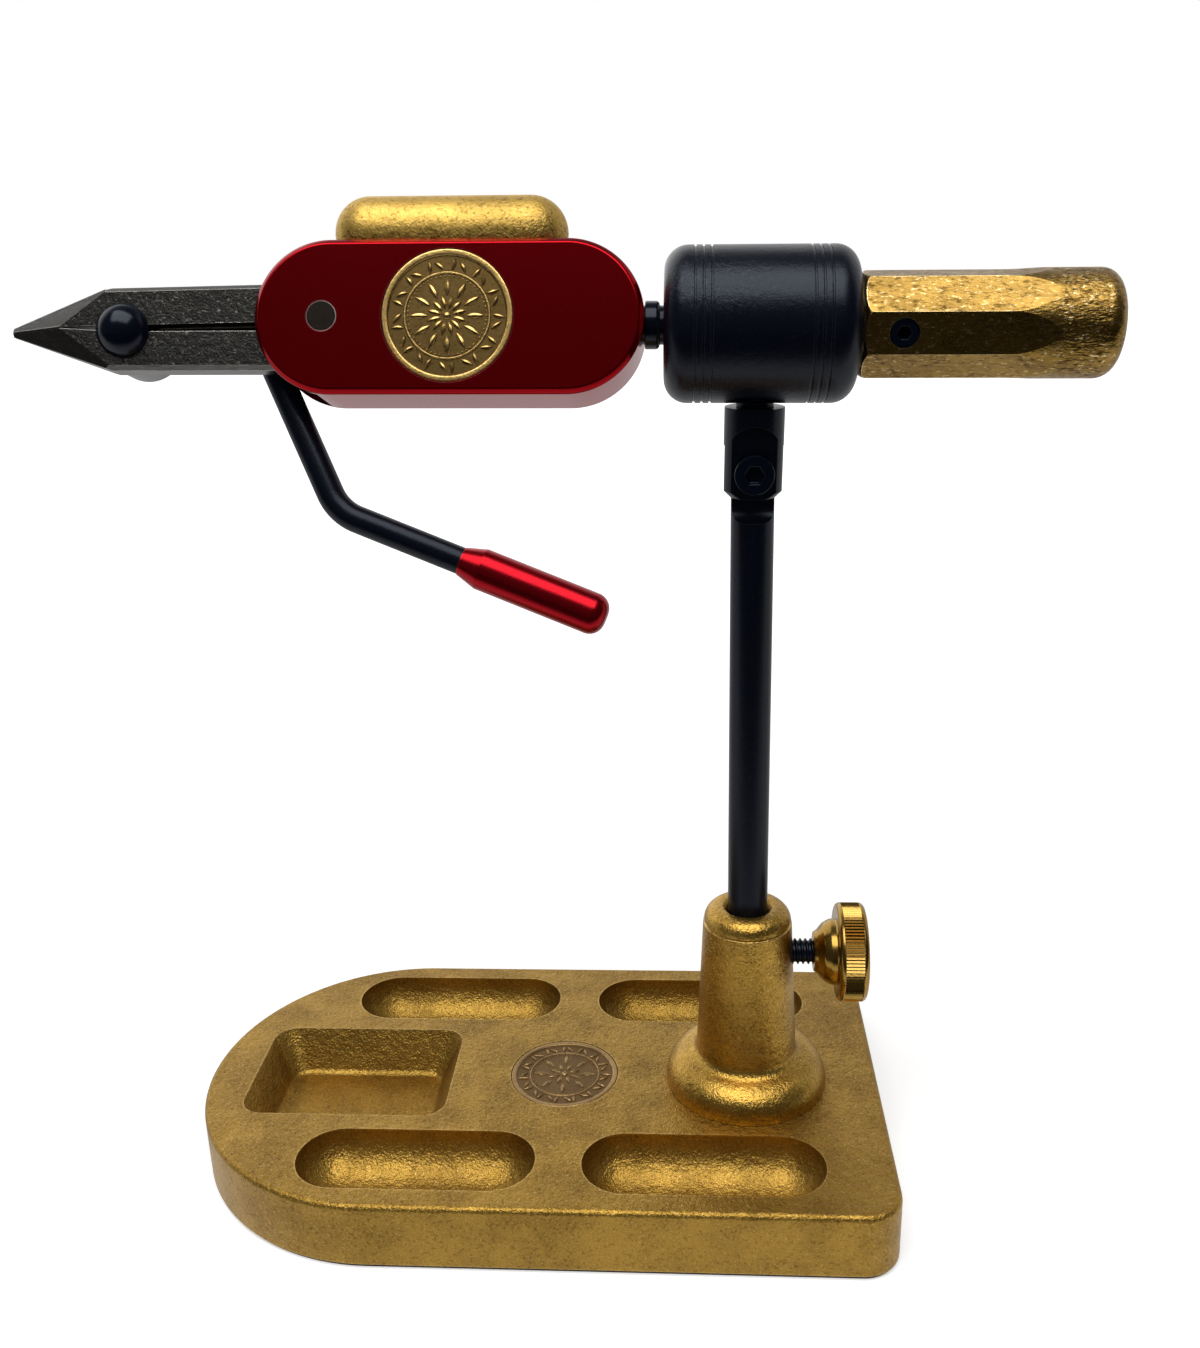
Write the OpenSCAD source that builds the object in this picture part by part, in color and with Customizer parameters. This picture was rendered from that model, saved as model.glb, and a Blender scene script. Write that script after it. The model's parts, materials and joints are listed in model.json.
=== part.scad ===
// Fly tying vise on a cast pedestal base.
// The origin is on the table, under the axis of the stem. +X runs towards the clamp knob,
// the jaws point to -X, and the front of the vise faces -Y.

/* [Base plate] */
// Overall length of the base plate
base_len = 171.5; // [150:0.5:200]
// Width of the base plate
base_w = 100; // [90:0.5:120]
// Thickness of the cast plate
plate_h = 16.2; // [14.5:0.1:22]
// Thickness of the non-slip pad
pad_h = 1; // [0.6:0.1:2]
// How far the pad stays inside the edge of the plate
pad_inset = 0.8; // [0.4:0.1:3]
// Distance from the stem axis to the square end of the plate
stem_inset = 33.2; // [28:0.1:45]
// Radius of the two square-end corners in plan
corner_r = 9; // [6:0.5:14]
// Radius along the top edge of the plate
edge_r = 1.4; // [0.6:0.1:2.5]

/* [Trays] */
// Length of each long trough
trough_len = 56.7; // [40:0.1:60]
// Width of each long trough, which is also twice its depth
trough_w = 20.6; // [14:0.1:22]
// Distance between the centres of two troughs in a row
trough_pitch = 67.6; // [64:0.1:72]
// Distance from the stem axis back to the middle of the nearer troughs
trough_back = 11.2; // [6:0.1:16]
// Distance of the troughs' centre lines from the middle of the plate
trough_side = 33.6; // [32.5:0.1:36]
// Length of the rectangular tray at its mouth
tray_len = 51.4; // [35:0.1:56]
// Width of the rectangular tray at its mouth
tray_w = 36; // [24:0.5:40]
// Depth of the rectangular tray
tray_depth = 10.5; // [6:0.1:12]
// How far each tray wall leans in between mouth and floor
tray_lean = 5.5; // [2:0.1:6]
// Distance from the stem axis to the middle of the rectangular tray
tray_back = 100.8; // [100:0.1:106]
// Diameter of the coin in the plate
base_coin_d = 27.4; // [20:0.1:28]
// Distance from the stem axis to the middle of that coin
base_coin_back = 46.4; // [42:0.1:54]

/* [Pedestal] */
// Diameter of the round flange at the foot of the column
flange_d = 40; // [36:0.5:50]
// Radius of the rolled edge of the flange
flange_roll = 7; // [5:0.1:8]
// Height of the straight rim under the rolled edge
flange_rim = 1.2; // [0.8:0.1:3]
// Column diameter where it leaves the flange
column_foot_d = 24.8; // [23:0.1:26]
// Column diameter at the crease below the dome
column_top_d = 21.5; // [20:0.1:23]
// Radius of the column's domed top, above its crease
dome_r = 3.9; // [2.5:0.1:5]
// Height of the column above the plate
column_h = 49; // [47.5:0.1:64]
// Width of the chamfered mouth round the stem
mouth_d = 12; // [11:0.1:13]

/* [Clamp screw] */
// Distance of the clamp screw below the top of the column
clamp_drop = 12.6; // [10.5:0.1:14.5]
// Diameter of the threaded stud
stud_d = 6.35; // [5:0.05:8]
// Gap between the column and the clamp knob when the screw is home
clamp_gap = 5; // [4.8:0.1:9]
// Length of the knob's domed hub
hub_len = 5.5; // [3:0.1:7]
// Largest diameter of the knob's hub
hub_d = 16; // [13:0.1:19]
// Length of the knob's head
clamp_head_len = 6.9; // [6:0.1:12]
// Diameter of the knob's head
clamp_head_d = 23.8; // [21:0.1:30]
// Radius of the knob's outer rim
clamp_rim_r = 1.2; // [0.8:0.1:2]

/* [Stem and tilt joint] */
// Diameter of the stem
stem_d = 9.525; // [9:0.025:10]
// Height of the foot of the stem above the plate
stem_foot_z = 5; // [4.5:0.1:8]
// Height of the tilt screw above the plate
pivot_z = 155.3; // [140:0.1:190]
// Distance of the lap face in front of the stem axis
lap_y = 1.3; // [1:0.1:1.8]
// Length of the tang's flat below the tilt screw
tang_drop = 11; // [10:0.1:14]
// Diameter of the neck
neck_d = 12.9; // [12.2:0.1:14]
// Distance of the neck's milled flat in front of its axis
neck_flat_y = 4.3; // [4:0.1:4.8]
// Length of the neck below the tilt screw
neck_drop = 5.8; // [5.4:0.1:6.5]
// Radius of the cutter that ended the neck's flat
neck_arch_r = 5.5; // [5:0.1:7]
// Height of the top of that arch above the tilt screw
neck_arch_top = 10; // [9:0.1:11]
// Thread diameter of the tilt screw
tilt_screw_d = 5; // [4:0.1:5]
// Head diameter of the tilt screw
tilt_head_d = 8.5; // [8:0.1:8.8]
// Head height of the tilt screw
tilt_head_h = 3.4; // [2.5:0.1:4]
// Thread diameter of the stud between neck and barrel
neck_stud_d = 8; // [6:0.1:8.5]

/* [Barrel and bearings] */
// Height of the barrel's axis above the tilt screw
barrel_rise = 30.4; // [29.5:0.1:36]
// Diameter of the barrel
barrel_d = 32.1; // [30.5:0.1:34]
// Length of the barrel
barrel_len = 39.9; // [38:0.1:50]
// How far the middle of the barrel is off the stem axis, towards the knob
barrel_shift = 0.5; // [0:0.1:3]
// Radius round both ends of the barrel
barrel_round = 5; // [4:0.1:5.5]
// Bore of the bearings and diameter of the spindle
spindle_d = 8; // [7.5:0.1:8.2]
// Outer diameter of the bearings
bearing_d = 19; // [18:0.1:19.5]
// Width of the bearings
bearing_w = 6; // [5:0.1:7]
// Diameter of the bearing balls
ball_d = 3; // [2.4:0.1:3.1]
// Number of balls in a bearing
ball_count = 9; // [7:1:10]

/* [Head knob] */
// Length of the brass knob
knob_len = 52.1; // [44:0.1:60]
// Diameter of the brass knob
knob_d = 22.2; // [20.5:0.1:24]
// Gap between the barrel and the brass knob
knob_gap = 0.6; // [0.4:0.1:1]
// Radius of the knob's outer end
knob_end_r = 4; // [3:0.1:7]
// Radius of the knob's inner end
knob_front_r = 1.6; // [1:0.1:2.5]
// Length of the full-depth flats
flats_len = 29; // [24:0.1:34]
// Length over which the flats run out
runout_len = 10.7; // [7:0.1:12]
// Number of flats
flat_count = 8; // [8:1:10]
// Distance of the set screw from the inner end of the knob
set_screw_back = 7.9; // [6:0.1:12]
// Diameter of the set screw
set_screw_d = 6; // [5:0.1:6.4]

/* [Head housing] */
// Length of the red housing
housing_len = 81; // [78:0.1:90]
// Height of the red housing, which is also twice its end radius
housing_h = 32; // [31:0.1:36]
// Thickness of the housing's two cheeks beside its slot
cheek_t = 2.4; // [2:0.1:3.5]
// Chamfer round both faces of the housing
housing_chamfer = 1.1; // [0.6:0.1:1.5]
// Length of the collar between barrel and housing
collar_len = 3; // [2.5:0.1:5]
// Diameter of that collar
collar_d = 9.9; // [9:0.1:11.5]
// Gap between the collar and the barrel
collar_gap = 0.95; // [0.6:0.05:1.5]
// Length of the slot that is open above and below, from the left end
open_slot_len = 12.9; // [11.5:0.1:13.5]
// Diameter of the coin in the housing
coin_d = 27.4; // [20:0.1:28]
// Thickness of both coins
coin_t = 1.5; // [1.2:0.1:1.6]
// Diameter of the counterweight bar
weight_d = 15.6; // [14:0.1:16.5]
// Length of the counterweight bar
weight_len = 49.5; // [40:0.1:54]
// Depth to which the counterweight is let into the housing
weight_sink = 4.5; // [3:0.1:5]
// How far the counterweight sits from the middle of the housing towards the jaws
weight_shift = 0.6; // [0:0.1:2]

/* [Jaws] */
// Distance from the cam pin to the tip of the jaws
jaw_reach = 68.8; // [60:0.1:76]
// Thickness of the jaw bars
jaw_t = 6.2; // [5.5:0.05:7]
// Height of each jaw bar
jaw_h = 8.1; // [7.6:0.1:8.3]
// Distance of the slit between the jaws below the head axis
slit_drop = 1.6; // [1.3:0.05:1.8]
// Angle by which the upper jaw spreads away from the tip
jaw_splay = 1; // [0.8:0.1:1.1]
// Length of the tapered tip
tip_len = 23.2; // [18:0.1:28]
// Height of each jaw at the very tip
tip_h = 0.9; // [0.7:0.1:1.2]
// Thickness of the jaws at the very tip
tip_t = 1.6; // [1.2:0.1:2.2]
// Chamfer along the jaw bars
jaw_chamfer = 1; // [0.6:0.1:1.2]
// Distance of the cross pin from the tip
button_back = 25.8; // [24:0.1:30]
// Diameter of the domed button
button_d = 11.3; // [9:0.1:12]
// Height of the domed button
button_h = 4.2; // [3:0.1:4.8]
// Diameter of the domed nut behind the jaws
nut_d = 16; // [12:0.1:17]
// Length of the round body of that nut
nut_len = 7.6; // [5:0.1:9]
// Height of the dome on that nut
nut_dome_h = 4.4; // [3:0.1:5]
// Diameter of the pins at the jaw roots
root_pin_d = 4; // [3:0.1:4.2]
// Distance of the root pins behind the cam pin
root_back = 18; // [16.5:0.1:19]

/* [Lever] */
// Distance of the cam pin from the left end of the housing
pin_inset = 14.3; // [14:0.1:16]
// Diameter of the cam pin
pin_d = 6.35; // [6:0.05:6.5]
// Thickness of the cam between the jaws
cam_t = 4.4; // [4:0.1:4.6]
// Diameter of the lever rod
rod_d = 6; // [5:0.1:6.5]
// Distance of the upper rod's centre line from the cam pin
rod_offset = 15.45; // [15:0.05:16]
// Lean of the upper rod away from upright
rod_lean = 24.7; // [22:0.1:27]
// Slope of the lower rod and grip below level
grip_slope = 21.3; // [18:0.1:25]
// Distance along the upper rod from opposite the cam pin to the corner
rod_drop = 35.9; // [32:0.1:44]
// Distance along the lower rod from the corner to the grip
rod_run = 28.8; // [24:0.1:34]
// Radius of the bend of the rod
bend_r = 11; // [9:0.1:14]
// Length of the red grip
grip_len = 33.5; // [28:0.1:40]
// Diameter of the red grip
grip_d = 9.1; // [8:0.1:11]

/* [Pose] */
// Tilt of the head as photographed, jaws up
head_tilt = 1; // [-5:0.5:5]
// Turn of the head about the spindle as photographed, front face up
head_roll = 18.5; // [0:0.5:30]
// Turn of the flats on the brass knob about the spindle, front face down
knob_turn = 2; // [0:0.5:44]

/* [Hidden] */

// Smoothness of large and small rounds
fine = 96;
small = 48;
// Radial play of a part that turns or slides
run_fit = 0.05;
// Play between parts that pass each other
side_gap = 0.15;
// Overrun of a cut past the surface
over = 1;
// Share of a screw's diameter that its hexagon socket takes
socket_share = 0.5;

// Heights above the table
base_top = pad_h + plate_h;
plate_x0 = stem_inset - base_len;
round_r = base_w / 2;
pivot_top = base_top + pivot_z;

// Pedestal sizes
crease_z = column_h - dome_r;
clamp_z = column_h - clamp_drop;
bush_wall = 1.6;
bush_land = 5.7;
bush_len = clamp_z - stud_d / 2 - bush_land;
bush_d = stem_d + 2 * bush_wall;
foot_screw_d = 4;
foot_screw_head_d = 7;
foot_screw_head_h = 4;
foot_screw_bite = 6;
foot_screw_r = (column_foot_d + flange_d) / 4 - foot_screw_d / 4;
foot_screw_count = 3;
crease_step = 0.15;
mouth_chamfer = (mouth_d - stem_d) / 2;

// Clamp screw sizes
column_at_clamp_r = (column_foot_d + (column_top_d - column_foot_d) * clamp_z / crease_z) / 2;
stud_x0 = stem_d / 2 + run_fit;
knob_x0 = column_at_clamp_r + clamp_gap;
clamp_head_x0 = knob_x0 + hub_len;
clamp_end = clamp_head_x0 + clamp_head_len;
stud_end = clamp_head_x0 + clamp_head_len / 2;
hub_nose_share = 0.55;
clamp_dish_d = clamp_head_d - 4 * clamp_rim_r;
clamp_dish_depth = 0.8;

// Barrel and spindle places, along the head axis from the neck's axis
barrel_x0 = barrel_shift - barrel_len / 2;
barrel_x1 = barrel_shift + barrel_len / 2;
bearing_set = 0.3;
bearing_x = [barrel_x0 + bearing_set, barrel_x1 - bearing_set - bearing_w];
bearing_ledge = 2;
barrel_bore_d = bearing_d - 2 * bearing_ledge;
ball_pitch_d = (bearing_d + spindle_d) / 2;
ring_gap_share = 0.8;
outer_ring_bore = ball_pitch_d + ring_gap_share * ball_d;
inner_ring_d = ball_pitch_d - ring_gap_share * ball_d;
ball_groove_r = ball_d / 2 + run_fit;
groove_w = 0.5;
groove_depth = 0.35;
groove_pitch = 1.7;
groove_inset = 6.1;
groove_count = 3;
collar_x1 = barrel_x0 - collar_gap;
housing_x1 = collar_x1 - collar_len;
housing_x0 = housing_x1 - housing_len;
housing_mid = (housing_x0 + housing_x1) / 2;
tenon_len = 14;
collar_chamfer = 0.5;
spacer_wall = 1.3;
knob_start = barrel_x1 + knob_gap;
knob_end = knob_start + knob_len;
spindle_in_knob = 30;
flat_phase = 180 / flat_count + knob_turn;
flat_r = knob_d / 2 * cos(180 / flat_count);
set_screw_len = 5.5;
set_screw_deep = 0.4;
neck_gap = 0.8;
neck_top = barrel_rise - barrel_d / 2 - neck_gap;
neck_chamfer = 1.5;
lap_clear = 0.05;
shoulder_gap = 0.64;
shoulder_rise = stem_d / 2 + shoulder_gap;
counterbore_depth = 0.4;
neck_stud_bite = 7;
neck_stud_floor = 1.15;
neck_stud_z0 = shoulder_rise + neck_stud_floor;

// Head housing places
end_r = housing_h / 2;
hub_t = rod_d + run_fit;
slot_w = jaw_t + hub_t + 3 * side_gap;
housing_t = slot_w + 2 * cheek_t;
coin_well = coin_t + side_gap / 3;
root_pin_seat = (cheek_t - coin_well) / 2;
weight_z = end_r - weight_sink + weight_d / 2;
weight_x = housing_mid - weight_shift;
weight_half = (weight_len - weight_d) / 2;
weight_stud_d = 4;
weight_stud_half = 6;
weight_stud_wall = 4.2;

// Jaw and cam places, seen from the front with x to the right and z up
pin_x = housing_x0 + pin_inset;
tip_x = pin_x - jaw_reach;
root_x = pin_x + root_back;
jaw_end = root_x + 1.5 * root_pin_d;
jaw_y0 = -slot_w / 2 + side_gap;
jaw_y1 = jaw_y0 + jaw_t;
tip_y = jaw_y1 - 1.4 * tip_t;
jaw_relief = 0.75;
grip_face_len = 12;
relief_len = 12;
cam_clear = 0.08;
notch_play = 1;
notch_half = pin_d / 2 + notch_play;
pocket_play = 0.9;
pocket_up = (jaw_end - tip_x) * sin(jaw_splay) - slit_drop + jaw_h + pocket_play;
pocket_down = slit_drop + jaw_relief + jaw_h + pocket_play;
button_z = -slit_drop - tip_h / 2;
cross_pin_d = 4;
cross_play = 0.1;
nut_bite_share = 0.7;
lower_top = -slit_drop - jaw_relief;
upper_root_z = -slit_drop + (root_x - tip_x) * sin(jaw_splay) + jaw_h / 2;
lower_root_z = lower_top - jaw_h / 2;

// Lever places in the same view
hub_y0 = jaw_y1 + side_gap;
hub_y1 = hub_y0 + hub_t;
rod_y = (hub_y0 + hub_y1) / 2;
hub_r = 7;
boss_r = 5;
boss_up = 3.4;
web_w = 8.6;
spigot_d = 3.6;
spigot_len = 5.5;
rod_seat = sqrt(boss_r * boss_r - rod_d * rod_d / 4) - run_fit;
seat_half = rod_d / 2 + side_gap;
rod_dir = [sin(rod_lean), -cos(rod_lean)];
grip_dir = [cos(grip_slope), -sin(grip_slope)];
foot_x = pin_x - rod_offset * cos(rod_lean);
foot_z = -rod_offset * sin(rod_lean);
boss_x = foot_x - boss_up * rod_dir[0];
boss_z = foot_z - boss_up * rod_dir[1];
corner_x = foot_x + rod_drop * rod_dir[0];
corner_z = foot_z + rod_drop * rod_dir[1];
bend_turn = 90 - rod_lean - grip_slope;
bend_leg = bend_r * tan(bend_turn / 2);
bend_lap = 0.8;
bend_thin = 0.12;
grip_cone = 4.6;
grip_round = 3.4;
grip_bite = 14;
core_share = 0.83;
grip_core_d = rod_d * core_share;

// The tilting head: origin at the tilt screw, z along the neck
module tilted() {
    translate([0, 0, pivot_top]) rotate([0, head_tilt, 0]) children();
}

// Parts that stay with the barrel: origin on the head axis
module on_barrel() {
    tilted() translate([0, 0, barrel_rise]) children();
}

// Parts that turn with the head: x along the spindle, the housing's front face towards -y
module on_head() {
    on_barrel() rotate([-head_roll, 0, 0]) children();
}

// A cylinder along x from x0, given its length and diameter
module x_rod(x0, len, d, fn = small) {
    translate([x0, 0, 0]) rotate([0, 90, 0]) cylinder(d = d, h = len, $fn = fn);
}

// A cylinder along y from y0 at x and z
module y_rod(x, y0, z, len, d, fn = small) {
    translate([x, y0, z]) rotate([-90, 0, 0]) cylinder(d = d, h = len, $fn = fn);
}

// Turns an outline drawn as [distance from the axis, place along x] about the x axis
module x_turn(fn = fine) {
    rotate([0, 90, 0]) rotate([0, 0, 90]) rotate_extrude($fn = fn) children();
}

// Section of the plate's edge: len deep from the inside, h high, rounded at the top corner
module edge_section(len, h, r) {
    square([len - r, h]);
    square([len, h - r]);
    translate([len - r, h - r]) circle(r = r, $fn = small);
}

// A D-shaped slab, drawn in by inset, with a rounded top edge
module d_slab(inset, h, r) {
    half_w = round_r - inset;
    x_round = plate_x0 + round_r;
    x_corner = stem_inset - corner_r;
    c_r = corner_r - inset;
    y_corner = round_r - corner_r;
    translate([x_round, 0, 0]) rotate([0, 0, 90])
        rotate_extrude(angle = 180, $fn = fine) edge_section(half_w, h, r);
    for (side = [0, 1]) mirror([0, side, 0]) {
        translate([x_corner, 0, 0]) rotate([90, 0, -90])
            linear_extrude(x_corner - x_round) edge_section(half_w, h, r);
        translate([x_corner, y_corner, 0])
            rotate_extrude(angle = 90, $fn = fine) edge_section(c_r, h, r);
    }
    translate([x_corner, y_corner, 0]) rotate([90, 0, 0])
        linear_extrude(2 * y_corner) edge_section(c_r, h, r);
}

module base_pad() {
    color([0.07, 0.07, 0.07]) d_slab(pad_inset, pad_h, pad_h / 4);
}

// A long trough with a round bottom and round ends, its mouth at z = 0
module trough() {
    r = trough_w / 2;
    half = trough_len / 2 - r;
    x_rod(-half, 2 * half, trough_w, fine);
    for (side = [-1, 1]) translate([side * half, 0, 0]) sphere(r = r, $fn = fine);
}

// The rectangular tray: two wedge sections crossed, its mouth at z = 0
module tray() {
    cut = tray_depth + over;
    grow = tray_lean * over / tray_depth;
    intersection() {
        rotate([90, 0, 0]) translate([0, 0, -tray_w]) linear_extrude(2 * tray_w)
            tray_section(tray_len, grow);
        rotate([90, 0, 90]) translate([0, 0, -tray_len]) linear_extrude(2 * tray_len)
            tray_section(tray_w, grow);
    }
}

module tray_section(w, grow) {
    polygon([
        [-w / 2 + tray_lean, -tray_depth], [w / 2 - tray_lean, -tray_depth],
        [w / 2 + grow, over], [-w / 2 - grow, over]
    ]);
}

module base_plate() {
    color([0.52, 0.38, 0.16]) difference() {
        translate([0, 0, pad_h]) d_slab(0, plate_h, edge_r);
        for (side = [-1, 1], i = [0, 1])
            translate([-trough_back - i * trough_pitch, side * trough_side, base_top]) trough();
        translate([-tray_back, 0, base_top]) tray();
        translate([-base_coin_back, 0, base_top - coin_well])
            cylinder(d = base_coin_d + 2 * run_fit, h = coin_well + over, $fn = fine);
        at_foot_screws() {
            cylinder(d = foot_screw_d + 2 * side_gap, h = base_top, $fn = small);
            cylinder(d = foot_screw_head_d + 2 * side_gap, h = pad_h + foot_screw_head_h + side_gap,
                     $fn = small);
        }
    }
}

// Copies at the screws that hold the column to the plate
module at_foot_screws() {
    for (i = [0 : foot_screw_count - 1])
        rotate([0, 0, 360 * (i + 0.5) / foot_screw_count]) translate([foot_screw_r, 0, 0]) children();
}

// A petal between two crossing arcs, pointing along +x from the centre
module petal(inner, outer, h) {
    len = outer - inner;
    arc_r = len * 0.8;
    offset_y = sqrt(arc_r * arc_r - len * len / 4);
    translate([(inner + outer) / 2, 0, 0]) linear_extrude(h) intersection() {
        translate([0, offset_y * 0.94]) circle(r = arc_r, $fn = small);
        translate([0, -offset_y * 0.94]) circle(r = arc_r, $fn = small);
    }
}

// A coin with a raised rim, a ring and a rosette of petals, its back at z = 0
module coin(d, petals) {
    relief_share = 0.2;
    relief = coin_t * relief_share;
    field = coin_t - relief;
    rim_w = d / 22;
    cylinder(d = d, h = field, $fn = fine);
    difference() {
        cylinder(d = d, h = coin_t, $fn = fine);
        translate([0, 0, -over]) cylinder(d = d - 2 * rim_w, h = coin_t + 2 * over, $fn = fine);
    }
    difference() {
        cylinder(d = d * 0.74, h = field + relief / 2, $fn = fine);
        translate([0, 0, -over]) cylinder(d = d * 0.7, h = coin_t + 2 * over, $fn = fine);
    }
    cylinder(d = d * 0.14, h = field + relief, $fn = small);
    for (i = [0 : petals - 1]) rotate([0, 0, 360 * i / petals]) petal(d * 0.1, d * 0.32, field + relief);
}

module base_medallion() {
    color([0.4, 0.28, 0.14])
        translate([-base_coin_back, 0, base_top - coin_t]) coin(base_coin_d, 8);
}

// Half section of the column, as distance from the axis and height above the plate
module column_section() {
    roll_x = flange_d / 2 - flange_roll;
    foot_z = flange_rim + flange_roll;
    polygon([
        [0, 0], [flange_d / 2, 0], [flange_d / 2, flange_rim], [roll_x, foot_z],
        [column_foot_d / 2, foot_z], [column_top_d / 2, crease_z],
        [column_top_d / 2 - crease_step, crease_z], [column_top_d / 2 - dome_r, column_h],
        [0, column_h]
    ]);
    translate([roll_x, flange_rim]) circle(r = flange_roll, $fn = fine);
    intersection() {
        translate([column_top_d / 2 - dome_r - crease_step, crease_z]) circle(r = dome_r, $fn = fine);
        translate([0, crease_z]) square([column_top_d, dome_r]);
    }
}

module pedestal() {
    mouth_r = mouth_d / 2;
    color([0.52, 0.38, 0.16]) translate([0, 0, base_top]) difference() {
        rotate_extrude($fn = fine) intersection() {
            column_section();
            square([flange_d, column_h]);
        }
        translate([0, 0, -over])
            cylinder(d = bush_d + 2 * run_fit, h = over + bush_len + side_gap, $fn = fine);
        cylinder(d = stem_d + 2 * run_fit, h = column_h + over, $fn = fine);
        translate([0, 0, column_h - mouth_chamfer])
            cylinder(r1 = mouth_r - mouth_chamfer, r2 = mouth_r + over, h = mouth_chamfer + over, $fn = fine);
        translate([0, 0, clamp_z]) x_rod(0, flange_d, stud_d + 2 * run_fit);
        at_foot_screws() translate([0, 0, -over])
            cylinder(d = foot_screw_d + 2 * run_fit, h = over + foot_screw_bite, $fn = small);
    }
}

// A socket head cap screw pointing up, its head's underside at z = 0
module cap_screw(d, len, head_d, head_h) {
    cylinder(d = d, h = len, $fn = small);
    difference() {
        translate([0, 0, -head_h]) cylinder(d = head_d, h = head_h, $fn = small);
        translate([0, 0, -head_h - over])
            cylinder(d = head_d * socket_share, h = over + head_h * socket_share, $fn = 6);
    }
}

module pedestal_screws() {
    seat_z = pad_h + foot_screw_head_h + side_gap;
    len = base_top - seat_z + foot_screw_bite - side_gap;
    color([0.2, 0.2, 0.2]) at_foot_screws() translate([0, 0, seat_z])
        cap_screw(foot_screw_d, len, foot_screw_head_d, foot_screw_head_h);
}

module stem_bush() {
    color([0.7, 0.52, 0.3]) translate([0, 0, base_top + side_gap]) difference() {
        cylinder(d = bush_d, h = bush_len - side_gap, $fn = fine);
        translate([0, 0, -over]) cylinder(d = stem_d + 2 * run_fit, h = bush_len + 2 * over, $fn = fine);
    }
}

module clamp_stud() {
    tip = stud_d / 8;
    color([0.05, 0.05, 0.06]) translate([0, 0, base_top + clamp_z]) {
        x_rod(stud_x0 + tip, stud_end - stud_x0 - tip, stud_d);
        translate([stud_x0, 0, 0]) rotate([0, 90, 0])
            cylinder(d1 = stud_d - 2 * tip, d2 = stud_d, h = tip, $fn = small);
    }
}

// Half section of the clamp knob, as distance from the axis and place along x
module clamp_knob_section() {
    nose_r = hub_d * hub_nose_share / 2;
    rim_x = clamp_end - clamp_rim_r;
    polygon([
        [0, knob_x0], [nose_r, knob_x0], [hub_d * 0.4, knob_x0 + hub_len * 0.28],
        [hub_d / 2 - hub_len * 0.1, knob_x0 + hub_len * 0.62], [hub_d / 2, clamp_head_x0],
        [clamp_head_d / 2, clamp_head_x0], [clamp_head_d / 2, rim_x],
        [clamp_head_d / 2 - clamp_rim_r, clamp_end], [clamp_dish_d / 2, clamp_end],
        [clamp_dish_d / 2 - clamp_dish_depth, clamp_end - clamp_dish_depth],
        [0, clamp_end - clamp_dish_depth]
    ]);
    translate([clamp_head_d / 2 - clamp_rim_r, rim_x]) circle(r = clamp_rim_r, $fn = small);
}

module clamp_knob() {
    color([0.8, 0.6, 0.25]) translate([0, 0, base_top + clamp_z]) difference() {
        x_turn() clamp_knob_section();
        x_rod(knob_x0 - over, stud_end - knob_x0 + over, stud_d + 2 * run_fit);
    }
}

module stem() {
    len = pivot_z + stem_d / 2 - stem_foot_z;
    cutter_r = 3.5;
    foot_chamfer = stem_d / 10;
    flat_z = pivot_top - tang_drop + cutter_r;
    color([0.05, 0.05, 0.06]) difference() {
        union() {
            translate([0, 0, base_top + stem_foot_z + foot_chamfer])
                cylinder(d = stem_d, h = pivot_z - stem_foot_z - foot_chamfer, $fn = fine);
            translate([0, 0, base_top + stem_foot_z])
                cylinder(d1 = stem_d - 2 * foot_chamfer, d2 = stem_d, h = foot_chamfer, $fn = fine);
            intersection() {
                translate([0, 0, pivot_top]) cylinder(d = stem_d, h = stem_d, $fn = fine);
                y_rod(0, -stem_d, pivot_top, 2 * stem_d, stem_d, fine);
            }
        }
        translate([-stem_d, -stem_d - lap_y, flat_z]) cube([2 * stem_d, stem_d, len]);
        translate([0, -lap_y - cutter_r, flat_z]) x_rod(-stem_d, 2 * stem_d, 2 * cutter_r);
        y_rod(0, -stem_d, pivot_top, 2 * stem_d, tilt_screw_d + 2 * run_fit);
    }
}

module tilt_screw() {
    seat_y = -neck_flat_y + counterbore_depth - run_fit;
    len = -seat_y + stem_d / 2 - tilt_screw_d / 5;
    color([0.04, 0.04, 0.05]) translate([0, seat_y, pivot_top]) rotate([-90, 0, 0])
        cap_screw(tilt_screw_d, len, tilt_head_d, tilt_head_h);
}

module neck() {
    arch_z = neck_arch_top - neck_arch_r;
    color([0.05, 0.05, 0.06]) tilted() difference() {
        union() {
            translate([0, 0, -neck_drop + neck_chamfer])
                cylinder(d = neck_d, h = neck_top + neck_drop - neck_chamfer, $fn = fine);
            translate([0, 0, -neck_drop])
                cylinder(d1 = neck_d - 2 * neck_chamfer, d2 = neck_d, h = neck_chamfer, $fn = fine);
        }
        translate([-neck_d, -neck_flat_y - neck_d, -neck_d]) cube([2 * neck_d, neck_d, neck_d + arch_z]);
        y_rod(0, -neck_flat_y - neck_d, arch_z, neck_d, 2 * neck_arch_r);
        translate([-neck_d, -lap_y - lap_clear, -neck_d]) cube([2 * neck_d, neck_d, neck_d + shoulder_rise]);
        y_rod(0, -neck_d, 0, 2 * neck_d, tilt_screw_d + 2 * run_fit);
        y_rod(0, -neck_flat_y - over, 0, over + counterbore_depth, tilt_head_d + 2 * side_gap);
        translate([0, 0, neck_stud_z0])
            cylinder(d = neck_stud_d, h = neck_top - neck_stud_z0 + over, $fn = small);
    }
}

module neck_stud() {
    len = barrel_rise - barrel_d / 2 + neck_stud_bite - neck_stud_z0;
    color([0.1, 0.1, 0.11]) tilted() translate([0, 0, neck_stud_z0])
        cylinder(d = neck_stud_d, h = len, $fn = small);
}

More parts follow.
